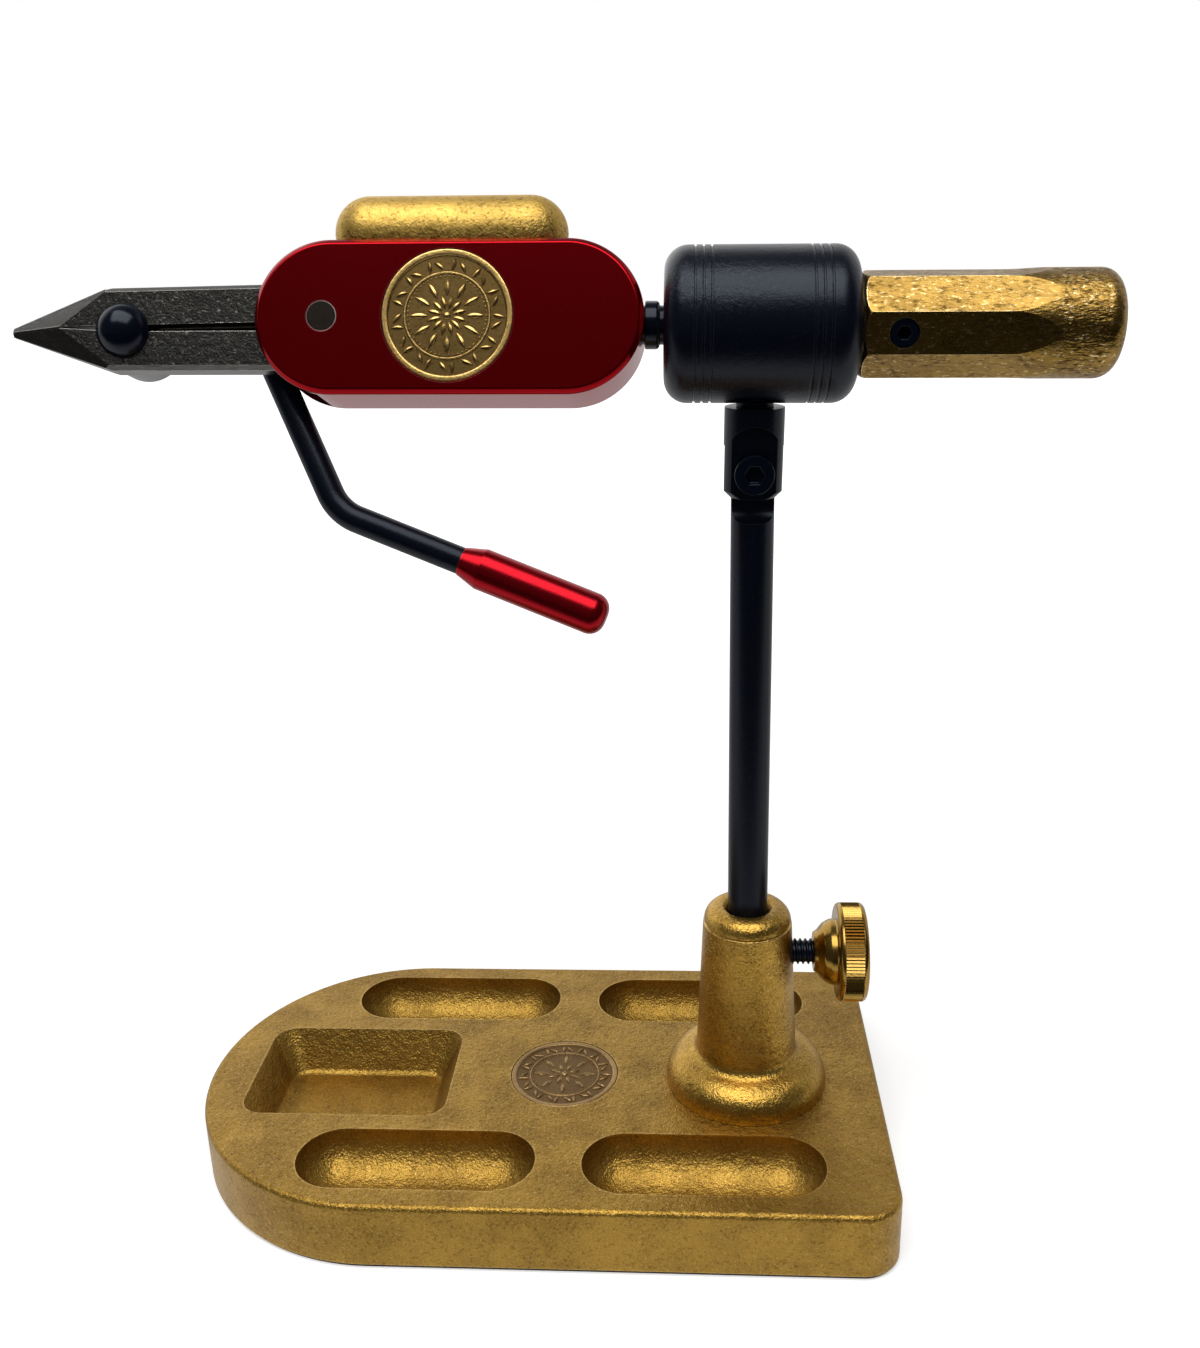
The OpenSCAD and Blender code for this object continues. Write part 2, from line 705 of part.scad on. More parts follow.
// Half section of the barrel, as distance from the axis and place along x
module barrel_section() {
    r = barrel_d / 2;
    difference() {
        union() {
            translate([0, barrel_x0 + barrel_round]) square([r, barrel_len - 2 * barrel_round]);
            translate([0, barrel_x0]) square([r - barrel_round, barrel_len]);
            for (x = [barrel_x0 + barrel_round, barrel_x1 - barrel_round])
                translate([r - barrel_round, x]) circle(r = barrel_round, $fn = fine);
        }
        for (i = [0 : groove_count - 1], x = [
            barrel_x0 + groove_inset + i * groove_pitch,
            barrel_x1 - groove_inset - i * groove_pitch - groove_w
        ]) translate([r - groove_depth, x]) square([groove_depth + over, groove_w]);
        translate([-barrel_d, barrel_x0 - over])
            square([barrel_d + barrel_bore_d / 2, barrel_len + 2 * over]);
        translate([0, barrel_x0 - over]) square([bearing_d / 2, over + bearing_set + bearing_w]);
        translate([0, bearing_x[1]]) square([bearing_d / 2, over + bearing_set + bearing_w]);
    }
}

module barrel() {
    color([0.13, 0.15, 0.18]) difference() {
        on_barrel() x_turn() barrel_section();
        tilted() translate([0, 0, barrel_rise - barrel_d])
            cylinder(d = neck_stud_d, h = barrel_d / 2 + neck_stud_bite, $fn = small);
    }
}

// A bearing ring with its ball groove, as distance from the axis and place along x
module ring_section(x0, r0, r1) {
    difference() {
        translate([r0, x0]) square([r1 - r0, bearing_w]);
        translate([ball_pitch_d / 2, x0 + bearing_w / 2]) circle(r = ball_groove_r, $fn = small);
    }
}

module bearing_outer_rings() {
    color([0.7, 0.7, 0.72]) on_barrel() for (x = bearing_x)
        x_turn() ring_section(x, outer_ring_bore / 2, bearing_d / 2);
}

module bearing_inner_rings() {
    color([0.7, 0.7, 0.72]) on_head() for (x = bearing_x)
        x_turn() ring_section(x, spindle_d / 2, inner_ring_d / 2);
}

module bearing_balls() {
    color([0.8, 0.8, 0.82]) on_head() for (x = bearing_x, i = [0 : ball_count - 1])
        rotate([360 * i / ball_count, 0, 0])
            translate([x + bearing_w / 2, ball_pitch_d / 2, 0]) sphere(d = ball_d, $fn = small);
}

module bearing_spacer() {
    x0 = bearing_x[0] + bearing_w;
    color([0.6, 0.6, 0.62]) on_head() difference() {
        x_rod(x0, bearing_x[1] - x0, spindle_d + 2 * spacer_wall);
        x_rod(x0 - over, bearing_x[1] - x0 + 2 * over, spindle_d);
    }
}

module spindle() {
    x0 = housing_x1 - tenon_len;
    seat_x = knob_start + set_screw_back;
    color([0.04, 0.04, 0.05]) on_head() difference() {
        union() {
            x_rod(x0, knob_start + spindle_in_knob - x0, spindle_d, fine);
            x_rod(housing_x1, collar_len - collar_chamfer, collar_d, fine);
            translate([collar_x1 - collar_chamfer, 0, 0]) rotate([0, 90, 0])
                cylinder(d1 = collar_d, d2 = collar_d - 2 * collar_chamfer, h = collar_chamfer, $fn = fine);
        }
        at_set_screw(seat_x, flat_r - set_screw_deep - set_screw_len)
            cylinder(d = 2 * set_screw_d, h = spindle_d, $fn = small);
    }
}

// Places a child on the set screw's axis at x, r out from the spindle, z pointing outwards
module at_set_screw(x, r) {
    rotate([90 + flat_phase, 0, 0]) translate([x, 0, r]) children();
}

module head_knob() {
    flats_end = knob_start + flats_len;
    slope = atan((knob_d / 2 - flat_r) / runout_len);
    color([0.6, 0.45, 0.18]) on_head() difference() {
        x_turn() {
            translate([0, knob_start]) square([knob_d / 2 - knob_end_r, knob_len]);
            translate([0, knob_start + knob_front_r])
                square([knob_d / 2, knob_len - knob_end_r - knob_front_r]);
            translate([0, knob_start]) square([knob_d / 2 - knob_front_r, knob_len / 2]);
            translate([knob_d / 2 - knob_front_r, knob_start + knob_front_r])
                circle(r = knob_front_r, $fn = small);
            intersection() {
                translate([knob_d / 2 - knob_end_r, knob_end - knob_end_r])
                    circle(r = knob_end_r, $fn = fine);
                translate([0, knob_start]) square([knob_d, knob_len]);
            }
        }
        for (i = [0 : flat_count - 1]) rotate([flat_phase + i * 360 / flat_count, 0, 0]) {
            translate([knob_start - over, -knob_d / 2, flat_r]) cube([flats_len + over, knob_d, knob_d]);
            translate([flats_end, -knob_d / 2, flat_r]) rotate([0, -slope, 0])
                cube([runout_len * 2, knob_d, knob_d]);
        }
        x_rod(knob_start - over, over + spindle_in_knob, spindle_d, fine);
        at_set_screw(knob_start + set_screw_back, 0) cylinder(d = set_screw_d, h = knob_d, $fn = small);
    }
}

module knob_set_screw() {
    r0 = flat_r - set_screw_deep - set_screw_len;
    color([0.03, 0.03, 0.04]) on_head() at_set_screw(knob_start + set_screw_back, r0) difference() {
        cylinder(d = set_screw_d, h = set_screw_len, $fn = small);
        translate([0, 0, set_screw_len / 2])
            cylinder(d = set_screw_d * socket_share, h = set_screw_len, $fn = 6);
    }
}

// A block with round ends along x, chamfered round both faces, centred on y = 0
module stadium(x0, len, h, t, c) {
    r = h / 2;
    for (side = [0, 1]) translate([side == 0 ? x0 + r : x0 + len - r, 0, 0])
        rotate([90, side == 0 ? -90 : 90, 0]) rotate_extrude(angle = 180, $fn = fine)
            half_disc_section(r, t, c);
    translate([x0 + r, 0, 0]) rotate([90, 0, 90]) linear_extrude(len - h)
        polygon([
            [-t / 2, -r + c], [-t / 2 + c, -r], [t / 2 - c, -r], [t / 2, -r + c],
            [t / 2, r - c], [t / 2 - c, r], [-t / 2 + c, r], [-t / 2, r - c]
        ]);
}

module half_disc_section(r, t, c) {
    polygon([[0, -t / 2], [r - c, -t / 2], [r, -t / 2 + c], [r, t / 2 - c], [r - c, t / 2], [0, t / 2]]);
}

// The counterweight's own form, used again as the seat cut for it
module weight_form(d) {
    translate([weight_x, 0, weight_z]) {
        x_rod(-weight_half, 2 * weight_half, d, fine);
        for (side = [-1, 1]) translate([side * weight_half, 0, 0]) sphere(d = d, $fn = fine);
    }
}

module head_housing() {
    open_x = housing_x0 + open_slot_len;
    hub_well = hub_r + 2 * side_gap;
    color([0.28, 0.02, 0.03]) on_head() difference() {
        stadium(housing_x0, housing_len, housing_h, housing_t, housing_chamfer);
        translate([housing_x0 - over, -slot_w / 2, -housing_h])
            cube([open_slot_len + over, slot_w, 2 * housing_h]);
        translate([housing_x0, -slot_w / 2, -pocket_down])
            cube([
                jaw_end + 2 * side_gap - housing_x0, jaw_y1 + slot_w / 2 + side_gap / 2,
                pocket_up + pocket_down
            ]);
        y_rod(pin_x, hub_y0 - side_gap, 0, slot_w / 2 - hub_y0 + side_gap, 2 * hub_well, fine);
        y_rod(pin_x, -housing_t, 0, 2 * housing_t, pin_d + 2 * run_fit, fine);
        for (z = [upper_root_z, lower_root_z])
            y_rod(root_x, -slot_w / 2 - root_pin_seat, z, housing_t, root_pin_d);
        y_rod(housing_mid, -housing_t, 0, housing_t / 2 + coin_well, coin_d + 2 * run_fit, fine);
        weight_form(weight_d + 2 * run_fit);
        at_weight_studs() cylinder(d = weight_stud_d, h = weight_stud_half + weight_stud_d / 2, $fn = small);
        x_rod(housing_x1 - tenon_len, tenon_len + over, spindle_d, fine);
    }
}

module head_medallion() {
    color([0.6, 0.45, 0.2]) on_head()
        translate([housing_mid, -housing_t / 2 + coin_t, 0]) rotate([90, 0, 0]) coin(coin_d, 12);
}

// Copies at the counterweight's studs, z upwards from the bottom of a stud
module at_weight_studs() {
    for (x = [jaw_end + weight_stud_wall + weight_stud_d / 2, weight_x + weight_half])
        translate([x, 0, end_r - weight_sink - weight_stud_half]) children();
}

module counterweight() {
    color([0.68, 0.5, 0.18]) on_head() difference() {
        weight_form(weight_d);
        at_weight_studs() cylinder(d = weight_stud_d, h = 2 * weight_stud_half, $fn = small);
    }
}

module counterweight_studs() {
    color([0.5, 0.5, 0.52]) on_head() at_weight_studs()
        translate([0, 0, run_fit])
            cylinder(d = weight_stud_d, h = 2 * weight_stud_half - 2 * run_fit, $fn = small);
}

module jaw_root_pins() {
    y0 = -slot_w / 2 - root_pin_seat + run_fit;
    color([0.6, 0.6, 0.62]) on_head() for (z = [upper_root_z, lower_root_z])
        y_rod(root_x, y0, z, housing_t / 2 - y0 - run_fit, root_pin_d);
}

// The pin's ends turn in the cheeks, its flats lie between the jaws, and the hub sits behind them
module cam_pin() {
    cut_y0 = -slot_w / 2 + side_gap / 2;
    color([0.6, 0.6, 0.6]) on_head() difference() {
        y_rod(pin_x, -housing_t / 2, 0, housing_t, pin_d, fine);
        for (side = [0, 1]) mirror([0, 0, side]) translate([pin_x - pin_d, cut_y0, cam_t / 2])
            cube([2 * pin_d, hub_y0 - side_gap / 2 - cut_y0, pin_d]);
    }
}

// The hub's side view: round the pin, round the boss, with a flat where the rod seats
module hub_outline() {
    reach = norm([pin_x - boss_x, boss_z]);
    difference() {
        union() {
            translate([pin_x, 0]) circle(r = hub_r, $fn = fine);
            translate([boss_x, boss_z]) circle(r = boss_r, $fn = fine);
            translate([pin_x, 0]) rotate(atan2(boss_z, boss_x - pin_x))
                translate([0, -web_w / 2]) square([reach, web_w]);
        }
        translate([pin_x, 0]) circle(d = pin_d, $fn = fine);
        translate([boss_x, boss_z]) rotate(rod_lean)
            translate([-seat_half, -rod_seat - boss_r]) square([2 * seat_half, boss_r]);
    }
}

module lever_hub() {
    color([0.05, 0.05, 0.06]) on_head() difference() {
        translate([0, hub_y1, 0]) rotate([90, 0, 0]) linear_extrude(hub_y1 - hub_y0) hub_outline();
        along_upper_rod(0) translate([0, 0, -spigot_d])
            cylinder(d = spigot_d, h = boss_r + spigot_d + over, $fn = small);
    }
}

// Places a child on the upper rod's centre line, a distance below the boss, z down the rod
module along_upper_rod(dist) {
    translate([boss_x, rod_y, boss_z]) rotate([0, 180 - rod_lean, 0]) translate([0, 0, dist]) children();
}

module lever_rod() {
    upper_len = boss_up + rod_drop - bend_leg;
    centre_x = corner_x + bend_leg * -rod_dir[0] + bend_r * cos(rod_lean);
    centre_z = corner_z - bend_leg * rod_dir[1] + bend_r * sin(rod_lean);
    color([0.04, 0.04, 0.05]) on_head() {
        along_upper_rod(rod_seat) cylinder(d = rod_d, h = upper_len + bend_lap - rod_seat, $fn = small);
        along_upper_rod(rod_seat - spigot_len) cylinder(d = spigot_d, h = spigot_len + bend_lap, $fn = small);
        translate([centre_x, rod_y, centre_z]) rotate([90, -180 - rod_lean, 0])
            rotate_extrude(angle = bend_turn, $fn = fine) translate([bend_r, 0])
                circle(d = rod_d - bend_thin, $fn = small);
        along_lower_rod(bend_leg - bend_lap)
            cylinder(d = rod_d, h = rod_run + bend_lap - bend_leg, $fn = small);
        along_lower_rod(rod_run - bend_lap) cylinder(d = grip_core_d, h = grip_bite + bend_lap, $fn = small);
    }
}

// Places a child on the lower rod's centre line, a distance past the corner, z down the rod
module along_lower_rod(dist) {
    translate([corner_x, rod_y, corner_z]) rotate([0, 90 + grip_slope, 0]) translate([0, 0, dist]) children();
}

module lever_grip() {
    r = grip_d / 2;
    color([0.5, 0.06, 0.07]) on_head() along_lower_rod(rod_run) difference() {
        rotate_extrude($fn = fine) {
            polygon([
                [0, 0], [rod_d / 2, 0], [r, grip_cone], [r, grip_len - grip_round],
                [r - grip_round, grip_len], [0, grip_len]
            ]);
            translate([r - grip_round, grip_len - grip_round]) intersection() {
                circle(r = grip_round, $fn = small);
                square(grip_round);
            }
        }
        translate([0, 0, -over]) cylinder(d = grip_core_d, h = over + grip_bite, $fn = small);
    }
}

// Side view of a jaw bar from the tip at the origin, its gripping edge along z = 0
module jaw_outline(relief) {
    polygon([
        [0, 0], [grip_face_len, 0], [grip_face_len + relief_len, -relief],
        [jaw_end - tip_x, -relief], [jaw_end - tip_x, -relief - jaw_h],
        [tip_len, -relief - jaw_h], [0, -tip_h]
    ]);
}

// A jaw with its tip at the origin and its body below the slit, before pins are let in
module jaw_bar(relief) {
    len = jaw_end - tip_x;
    low = -relief - jaw_h;
    difference() {
        translate([0, jaw_y1, 0]) rotate([90, 0, 0]) linear_extrude(jaw_t) jaw_outline(relief);
        for (y = [jaw_y0, jaw_y1]) translate([tip_len - over, y, low]) rotate([45, 0, 0])
            translate([0, -jaw_chamfer * sqrt(2) / 2, -jaw_chamfer * sqrt(2) / 2])
                cube([len, jaw_chamfer * sqrt(2), jaw_chamfer * sqrt(2)]);
        tip_bevel(jaw_y0, tip_y, -1);
        tip_bevel(jaw_y1, tip_y + tip_t, 1);
    }
}

// Ground flank that narrows a jaw from the face at face_y to the tip at end_y
module tip_bevel(face_y, end_y, side) {
    near = grip_face_len;
    far = tip_len;
    drop = jaw_h;
    lean = atan((far - near) / drop);
    swing = atan(abs(face_y - end_y) / (near * cos(lean)));
    translate([near, face_y, 0]) rotate([0, -lean, 0]) rotate([0, 0, side * swing])
        translate([-3 * tip_len, side > 0 ? 0 : -jaw_t, -3 * jaw_h])
            cube([3 * tip_len, jaw_t, 6 * jaw_h]);
}

// The slot for the cam and the hole for the root pin, as both jaws have them
module jaw_cuts(root_z) {
    half = cam_t / 2 + cam_clear;
    translate([pin_x - notch_half, jaw_y0 - over, -half]) cube([2 * notch_half, jaw_t + 2 * over, 2 * half]);
    y_rod(root_x, jaw_y0 - over, root_z, jaw_t + 2 * over, root_pin_d + 2 * run_fit);
    y_rod(tip_x + button_back, jaw_y0 - over, button_z, jaw_t + 2 * over, cross_pin_d + 2 * cross_play);
}

module upper_jaw() {
    color([0.2, 0.2, 0.19]) on_head() difference() {
        translate([tip_x, 0, -slit_drop + run_fit / 2]) rotate([0, -jaw_splay, 0])
            mirror([0, 0, 1]) jaw_bar(0);
        jaw_cuts(upper_root_z);
    }
}

module lower_jaw() {
    color([0.2, 0.2, 0.19]) on_head() difference() {
        translate([tip_x, 0, -slit_drop - run_fit / 2]) jaw_bar(jaw_relief);
        jaw_cuts(lower_root_z);
    }
}

// A shallow dome along z with its flat face at z = 0
module dome(d, h) {
    r = (d * d / 4 + h * h) / (2 * h);
    intersection() {
        translate([0, 0, h - r]) sphere(r = r, $fn = fine);
        cylinder(d = d + over, h = h + over, $fn = fine);
    }
}

module jaw_cross_pin() {
    y0 = jaw_y0 - side_gap;
    len = jaw_t + 2 * side_gap + nut_len * nut_bite_share;
    color([0.03, 0.04, 0.06]) on_head() {
        y_rod(tip_x + button_back, y0, button_z, len, cross_pin_d);
        translate([tip_x + button_back, y0, button_z]) rotate([90, 0, 0]) dome(button_d, button_h);
    }
}

module jaw_cross_nut() {
    y0 = jaw_y1 + side_gap;
    top = nut_len + nut_dome_h;
    crown_r = (nut_d * nut_d / 4 + nut_dome_h * nut_dome_h) / (2 * nut_dome_h);
    color([0.35, 0.35, 0.36]) on_head() translate([tip_x + button_back, y0, button_z]) rotate([-90, 0, 0])
        difference() {
            intersection() {
                cylinder(d = nut_d, h = top + over, $fn = fine);
                translate([0, 0, top - crown_r]) sphere(r = crown_r, $fn = fine);
            }
            translate([0, 0, -over])
                cylinder(d = cross_pin_d, h = over + nut_len * nut_bite_share, $fn = small);
        }
}

base_pad();
base_plate();
base_medallion();
pedestal();
pedestal_screws();
stem_bush();
clamp_stud();
clamp_knob();
stem();
tilt_screw();
neck();
neck_stud();
barrel();
bearing_outer_rings();
bearing_inner_rings();
bearing_balls();
bearing_spacer();
spindle();
head_knob();
knob_set_screw();
head_housing();
head_medallion();
counterweight();
counterweight_studs();
jaw_root_pins();
cam_pin();
lever_hub();
lever_rod();
lever_grip();
upper_jaw();
lower_jaw();
jaw_cross_pin();
jaw_cross_nut();
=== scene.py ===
"""Fly tying vise on a cast bronze base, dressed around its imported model.

Sizes are in millimetres in the classes and become metres when a mesh is made. The head of the vise
is modelled in its own level frame, x along the spindle, and is turned into place at the end.
"""

import json
import logging
import math
from dataclasses import dataclass, replace
from enum import Enum
from typing import Callable, Optional, Sequence

import bmesh
import bpy
from mathutils import Matrix, Vector


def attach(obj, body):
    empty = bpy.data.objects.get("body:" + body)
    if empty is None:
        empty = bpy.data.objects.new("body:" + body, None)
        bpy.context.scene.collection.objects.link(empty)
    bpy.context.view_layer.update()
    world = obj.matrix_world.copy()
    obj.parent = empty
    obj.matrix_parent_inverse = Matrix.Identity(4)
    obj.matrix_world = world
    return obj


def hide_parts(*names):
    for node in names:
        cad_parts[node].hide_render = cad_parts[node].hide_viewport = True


MM = 0.001
WHITE = (1, 1, 1, 1)
LOG = logging.getLogger("vise")

Pair = tuple[float, float]
Triple = tuple[float, float, float]
Band = tuple[float, float, float, float]
Path = list[Pair]
Tree, Node, Link = bpy.types.NodeTree, bpy.types.Node, bpy.types.NodeSocket

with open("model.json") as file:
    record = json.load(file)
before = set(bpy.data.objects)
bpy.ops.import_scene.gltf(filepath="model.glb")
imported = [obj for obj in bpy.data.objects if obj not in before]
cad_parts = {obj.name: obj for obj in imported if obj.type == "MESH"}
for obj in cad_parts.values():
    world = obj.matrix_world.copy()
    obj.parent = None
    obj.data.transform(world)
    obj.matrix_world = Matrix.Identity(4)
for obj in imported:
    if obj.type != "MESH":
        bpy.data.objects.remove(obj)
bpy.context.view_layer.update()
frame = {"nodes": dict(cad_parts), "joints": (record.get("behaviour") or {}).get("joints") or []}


def link(name: str, data: bpy.types.ID) -> bpy.types.Object:
    """Makes an object and links it into the scene.

    Args:
        name: The object's name.
        data: Its mesh, lamp or camera.

    Returns:
        The new object.
    """
    thing = bpy.data.objects.new(name, data)
    bpy.context.scene.collection.objects.link(thing)
    return thing


class Graph:
    """Adds shader nodes to one node tree in a few words."""

    def __init__(self, tree: Tree) -> None:
        """Keeps the node tree that nodes are added to."""
        self.tree = tree

    def add(self, kind: str, inputs: Sequence[object] = (), **settings: object) -> Node:
        """Adds a node.

        Args:
            kind: The node's type name without the ShaderNode prefix.
            inputs: Sockets or values for its first inputs, in order.
            **settings: Properties of the node.

        Returns:
            The new node.
        """
        node = self.tree.nodes.new("ShaderNode" + kind)
        for name, value in settings.items():
            setattr(node, name, value)
        for value, target in zip(inputs, node.inputs):
            self.put(value, target)
        return node

    def put(self, source: object, target: Link) -> None:
        """Fills an input.

        Args:
            source: The output to link, or a constant to write.
            target: The input.
        """
        if isinstance(source, Link):
            self.tree.links.new(source, target)
        else:
            target.default_value = source

    def math(self, operation: str, *values: object, clamp: bool = False) -> Link:
        """Adds a math node of sockets or numbers, clamped to 0 and 1 on request, and gives its result."""
        return self.add("Math", values, operation=operation, use_clamp=clamp).outputs[0]

    def vector(self, operation: str, *values: object) -> bpy.types.NodeOutputs:
        """Adds a vector math node of sockets or triples and gives its outputs, Vector and Value."""
        return self.add("VectorMath", values, operation=operation).outputs

    def split(self, vector: Link) -> bpy.types.NodeOutputs:
        """Gives the outputs X, Y and Z of a vector."""
        return self.add("SeparateXYZ", [vector]).outputs

    def noise(self, vector: Link, scale: object, detail: float, rough: float = 0.5) -> Link:
        """Adds a noise texture.

        Args:
            vector: The place.
            scale: Patches in a metre.
            detail: Finer layers that are added.
            rough: Strength of each finer layer.

        Returns:
            The noise, from 0 to 1.
        """
        node = self.add("TexNoise")
        for name, value in (("Vector", vector), ("Scale", scale), ("Detail", detail), ("Roughness", rough)):
            self.put(value, node.inputs[name])
        return node.outputs["Fac"]

    def band(self, value: object, low: float, high: float, out_low: float = 0.0, out_high: float = 1.0) -> Link:
        """Gives a factor that goes from one value to another between two levels."""
        return self.add("MapRange", (value, low, high, out_low, out_high),
                        interpolation_type="SMOOTHSTEP").outputs["Result"]

    def mix(self, share: object, first: object, second: object) -> Link:
        """Mixes two colours.

        Args:
            share: Share of the second colour.
            first: The first colour.
            second: The second colour.

        Returns:
            The mixed colour.
        """
        node = self.add("Mix", [share], data_type="RGBA")
        for value, target in zip((first, second), (s for s in node.inputs if s.type == "RGBA")):
            self.put(value, target)
        return next(s for s in node.outputs if s.type == "RGBA")

    def group(self, tree: Tree, **values: object) -> bpy.types.NodeOutputs:
        """Adds a node group.

        Args:
            tree: The group.
            **values: Its inputs by name, with _ for a space.

        Returns:
            The node's outputs.
        """
        node = self.add("Group", node_tree=tree)
        for name, value in values.items():
            self.put(value, node.inputs[name.replace("_", " ")])
        return node.outputs


def rgba(colour: Sequence[float]) -> Band:
    """Gives a colour an alpha of one."""
    return (*colour[:3], 1.0)


def level_frame(origin: Vector, x_axis: Vector, y_axis: Vector) -> Matrix:
    """Makes a frame from its origin and two axes.

    Args:
        origin: The frame's origin.
        x_axis: Its x axis.
        y_axis: A direction near its y axis.

    Returns:
        The frame's matrix.
    """
    x, y = x_axis.normalized(), y_axis.normalized()
    z = x.cross(y).normalized()
    return Matrix.Translation(origin) @ Matrix((x, z.cross(x), z)).transposed().to_4x4()


@dataclass
class Camera:
    """The camera that took the photograph, fitted to the base, the stem and the head."""

    place_mm: Triple = (-14.79, -281.87, 223.33)
    yaw: float = -3.98
    pitch: float = 19.03
    roll: float = 1.58
    focal_px: float = 1299.8
    image_px: tuple[int, int] = (1200, 1348)
    sensor_mm: float = 36.0

    def make(self) -> None:
        """Creates the camera and makes it the scene's."""
        data = bpy.data.cameras.new("camera")
        data.sensor_width = self.sensor_mm
        data.lens = self.focal_px / max(self.image_px) * self.sensor_mm
        data.clip_start = 0.01
        data.clip_end = 20.0
        camera = link("camera", data)
        yaw, pitch, roll = (math.radians(a) for a in (self.yaw, self.pitch, self.roll))
        forward = Vector((math.sin(yaw) * math.cos(pitch), math.cos(yaw) * math.cos(pitch), -math.sin(pitch)))
        level = Vector((math.cos(yaw), -math.sin(yaw), 0))
        plumb = forward.cross(level)
        right = math.cos(roll) * level + math.sin(roll) * plumb
        down = -math.sin(roll) * level + math.cos(roll) * plumb
        turn = Matrix((right, -down, -forward)).transposed().to_4x4()
        camera.matrix_world = Matrix.Translation(Vector(self.place_mm) * MM) @ turn
        bpy.context.scene.camera = camera


@dataclass
class Studio:
    """Pale floor, surroundings that are white behind the object and dark in front, and a soft lamp.

    Each band is a range of distance, place or direction and the brightness at its two ends.
    """

    floor_size: float = 6.0
    floor_grey: float = 0.8
    floor_far: Band = (0.2, 0.75, 0.42, 1.0)
    floor_near: Band = (-0.24, -0.09, 0.0, 0.95)
    # Glow of the floor in reflections, lowered under and behind the object: a painted shadow.
    floor_shadow_painted: Band = (-0.05, 0.08, 1.0, 0.65)
    sky_behind: Band = (-0.1, 0.35, 0.05, 1.0)
    sky_low: Band = (0.6, 0.88, 1.0, 0.15)
    sky_left: Band = (-0.3, 0.35, 1.4, 0.75)
    ambient: float = 0.22
    lamp_place: Triple = (-0.1, -0.46, 1.32)
    lamp_size: Pair = (1.5, 1.05)
    lamp_power: float = 20.0
    aim: Triple = (-0.03, 0.0, 0.12)

    def make(self) -> None:
        """Makes the floor, the world and the lamp."""
        self.make_floor()
        self.make_world()
        data = bpy.data.lights.new("key", "AREA")
        data.shape = "RECTANGLE"
        data.size, data.size_y = self.lamp_size
        data.energy = self.lamp_power
        lamp = link("key", data)
        lamp.location = self.lamp_place
        lamp.rotation_mode = "QUATERNION"
        lamp.rotation_quaternion = (Vector(self.aim) - Vector(self.lamp_place)).to_track_quat("-Z", "Y")

    def make_floor(self) -> None:
        """Makes the floor: white to the camera but for the object's shadow; in reflections it glows, dark far in front
        and darker under and behind the object as painted shadow.
        """
        mesh = bpy.data.meshes.new("floor")
        shape = bmesh.new()
        bmesh.ops.create_grid(shape, x_segments=1, y_segments=1, size=self.floor_size / 2)
        shape.to_mesh(mesh)
        shape.free()
        floor = link("floor", mesh)
        material = bpy.data.materials.new("pale floor")
        material.use_nodes = True
        graph = Graph(material.node_tree)
        shader = material.node_tree.nodes["Principled BSDF"].inputs
        shader["Roughness"].default_value = 0.9
        shader["Specular IOR Level"].default_value = 0.0
        shader["Emission Color"].default_value = WHITE
        path = graph.add("LightPath").outputs
        place = graph.add("TexCoord").outputs["Object"]
        depth = graph.split(place)["Y"]
        far = graph.band(graph.vector("LENGTH", place)["Value"], *self.floor_far)
        # The floor as seen in reflections is glow alone, darkened under and behind the object as painted shadow.
        reflected_floor_painted_shadow = graph.math("MULTIPLY", graph.band(depth, *self.floor_near), graph.band(depth, *self.floor_shadow_painted))
        camera = graph.math("MULTIPLY", path["Is Camera Ray"], far)
        glossy = graph.math("MULTIPLY", path["Is Glossy Ray"], reflected_floor_painted_shadow)
        grey = rgba([self.floor_grey] * 3)
        graph.put(graph.mix(path["Is Glossy Ray"], grey, rgba([0.0] * 3)), shader["Base Color"])
        graph.put(graph.math("ADD", camera, glossy), shader["Emission Strength"])
        mesh.materials.append(material)

    def make_world(self) -> None:
        """Makes the surroundings: white to the camera, white behind and dark in front in reflections."""
        world = bpy.data.worlds.new("studio")
        bpy.context.scene.world = world
        world.use_nodes = True
        graph = Graph(world.node_tree)
        sky = world.node_tree.nodes["Background"].inputs
        path = graph.add("LightPath").outputs
        split = graph.split(graph.add("TexCoord").outputs["Generated"])
        side = graph.math("MULTIPLY", graph.band(split["Z"], *self.sky_low), graph.band(split["X"], *self.sky_left))
        behind = graph.math("MULTIPLY", graph.band(split["Y"], *self.sky_behind), side)
        glossy = graph.math("MULTIPLY", path["Is Glossy Ray"], behind)
        other = graph.math("MULTIPLY", graph.math("SUBTRACT", 1.0, path["Is Glossy Ray"]), self.ambient)
        seen = graph.math("MAXIMUM", path["Is Camera Ray"], path["Is Transmission Ray"])
        sky["Color"].default_value = WHITE
        graph.put(graph.math("MAXIMUM", seen, graph.math("ADD", glossy, other)), sky["Strength"])


